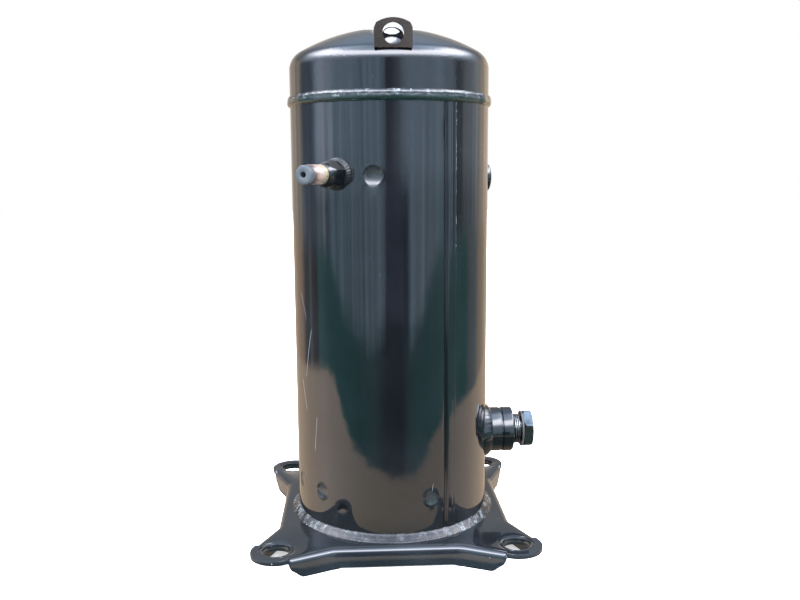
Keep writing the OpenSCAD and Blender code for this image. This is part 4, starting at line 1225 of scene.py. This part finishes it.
def dress_inner_nodes():
    """Gives the inner CAD nodes their own finishes."""
    steel = metal("machined_steel", (0.55, 0.56, 0.57), (0.34, 0.35, 0.36), (0.22, 0.40), 0.4,
                  (120, 120, 1400))
    zinc = metal("zinc_steel", (0.66, 0.67, 0.66), (0.46, 0.46, 0.42), (0.25, 0.42), 0.4)
    dark = metal("dark_steel", (0.12, 0.12, 0.13), (0.05, 0.05, 0.055), (0.32, 0.5), 0.5)
    pins = metal("pin_metal", (0.62, 0.55, 0.36), (0.42, 0.37, 0.24), (0.25, 0.42), 0.3)
    laminated = metal("lamination", (0.30, 0.31, 0.33), (0.16, 0.16, 0.17), (0.4, 0.6), 1.0, (8, 8, 1400))
    copper = metal("winding_copper", (0.62, 0.25, 0.10), (0.38, 0.13, 0.05), (0.25, 0.42), 1.0,
                   (500, 500, 60))
    aluminium = metal("cage_aluminium", (0.72, 0.73, 0.74), (0.55, 0.56, 0.57), (0.35, 0.55), 0.6)
    iron = metal("frame_iron", (0.32, 0.32, 0.32), (0.18, 0.18, 0.18), (0.40, 0.62), 1.0, (600, 600, 600))
    bronze = metal("bearing_bronze", (0.55, 0.40, 0.20), (0.36, 0.25, 0.12), (0.3, 0.5), 0.5)
    alloy = metal("oldham_alloy", (0.58, 0.59, 0.60), (0.42, 0.42, 0.43), (0.32, 0.5), 0.7)
    black = plastic("inner_rubber", (0.02, 0.02, 0.02), 0.6)
    leads = plastic("lead_plastic", (0.30, 0.03, 0.02), 0.42)
    resin = plastic("overload_resin", (0.03, 0.03, 0.032), 0.45)
    glass = plastic("bead_glass", (0.08, 0.20, 0.15), 0.12, 0.1)
    finishes = {
        steel: ("separator_plate", "terminal_cup", "crankshaft", "oil_pickup", "thrust_washer",
                "discharge_valve",
                "valve_guard"),
        zinc: ("cover_screw", "earth_screw"),
        dark: ("scroll_bolts", "guard_screws"),
        pins: ("terminal_pins",),
        laminated: ("stator_core", "rotor_core"),
        copper: ("stator_winding",),
        aluminium: ("rotor_cage",),
        iron: ("lower_frame", "main_frame", "orbiting_scroll", "fixed_scroll"),
        bronze: ("upper_counterweight", "lower_counterweight", "lower_bearing", "main_bearing", "thrust_ring",
                 "hub_bearing"),
        alloy: ("oldham_ring",),
        black: ("floating_seal",),
        leads: ("motor_leads", "lead_block"),
        resin: ("overload_protector",),
        glass: ("pin_glass",),
    }
    for material, names in finishes.items():
        for name in names:
            cad[name].data.materials.clear()
            cad[name].data.materials.append(material)


def check_every_node_is_dressed():
    """Stops when a CAD node is shown without one of the finishes above."""
    for name, node in cad.items():
        if not node.hide_render and not (node.data.materials and node.data.materials[0].node_tree):
            raise RuntimeError("no finish on " + name)


def build_all():
    shell_marks = ((-60.5, 7.5, 0.128, 0.172, 0.20), (-60.0, -5.5, 0.100, 0.128, 0.20),
                   (-52.5, 3.0, 0.068, 0.100, 0.14),
                   (-58, -7.5, 0.176, 0.202, 0.12), (19.5, 2.2, 0.030, 0.050, 0.14))
    shell_paint = enamel("shell_enamel", peel=0.55, dust=0.03, scratches=shell_marks, dull_dimple=True)
    cap_paint = enamel("cap_enamel", peel=0.75, dust=0.03)
    plate_paint = enamel("plate_enamel", peel=0.4, dust=0.3, wear=True, tint=(0.004, 0.005, 0.006))
    part_paint = enamel("fitting_enamel", peel=0.25, dust=0.05)
    # The bead's greenish underside colour is a painted reflection of grass, and its silvery top grains are
    # partly a painted sparkle
    bead_paint = weld_enamel("bead_enamel", silver=0.8, dust=0.22, painted_grass_reflection=(0.002, 0.0062, 0.0052))
    foot_paint = weld_enamel("foot_enamel", silver=0.9, dust=0.22, gloss=(0.20, 0.40), ior=1.35, sides=38)
    collar_paint = weld_enamel("collar_enamel", dust=0.3, gloss=(0.2, 0.4), ior=1.35)
    brass = heat_tinted_brass("brass_stub", 0.1038, 0.121)
    copper = metal("copper_stub", (0.72, 0.36, 0.22), (0.46, 0.20, 0.12), (0.22, 0.4), 0.5)
    rubber = plastic("stopper_rubber", (0.018, 0.024, 0.028), 0.5, 0.5, (0.10, 0.12, 0.12), 0.25)
    seal = plastic("seal_rubber", (0.018, 0.018, 0.018), 0.5)
    plug = metal("plug_steel", (0.13, 0.145, 0.155), (0.06, 0.07, 0.075), (0.18, 0.32), 0.25,
                 (400, 400, 400), 0.3)
    # The thread's roots carry painted shade
    thread = metal("thread_steel", (0.42, 0.43, 0.42), (0.24, 0.25, 0.25), (0.2, 0.35), 0.15, groove_shade=True)
    lid = plastic("cover_plastic", (0.020, 0.021, 0.022), 0.42, 0.5, (0.25, 0.25, 0.25), 0.05)

    build_shell(shell_paint)
    build_seam(enamel("seam_enamel", peel=0.55, dust=0.12, wear=True))
    build_cap(cap_paint)
    build_girth_weld(bead_paint)
    build_bottom_cap(part_paint)
    build_base(plate_paint)
    build_base_weld(foot_paint)
    build_lug(enamel("lug_enamel", peel=0.7, dust=0.05, wear=True, tint=(0.0105, 0.0082, 0.0066)))
    build_oil_port(part_paint, plug, thread, seal)
    build_stub(part_paint, collar_paint, brass, rubber)
    build_button(part_paint)
    build_back_stub("suction", SUCTION_ANGLE, SUCTION_Z, 11.1, 17, 122, 88.6, 8, 3, collar_paint, copper,
                    rubber)
    build_back_stub("discharge", DISCHARGE_ANGLE, DISCHARGE_Z, 6.35, 9.6, 116, 88.6, 7, 2, collar_paint,
                    copper, rubber)
    build_terminal_box(part_paint, lid)
    dress_inner_nodes()


scene.view_settings.view_transform = "Standard"
add_camera()
add_surroundings()
build_all()
add_stage()
check_every_node_is_dressed()
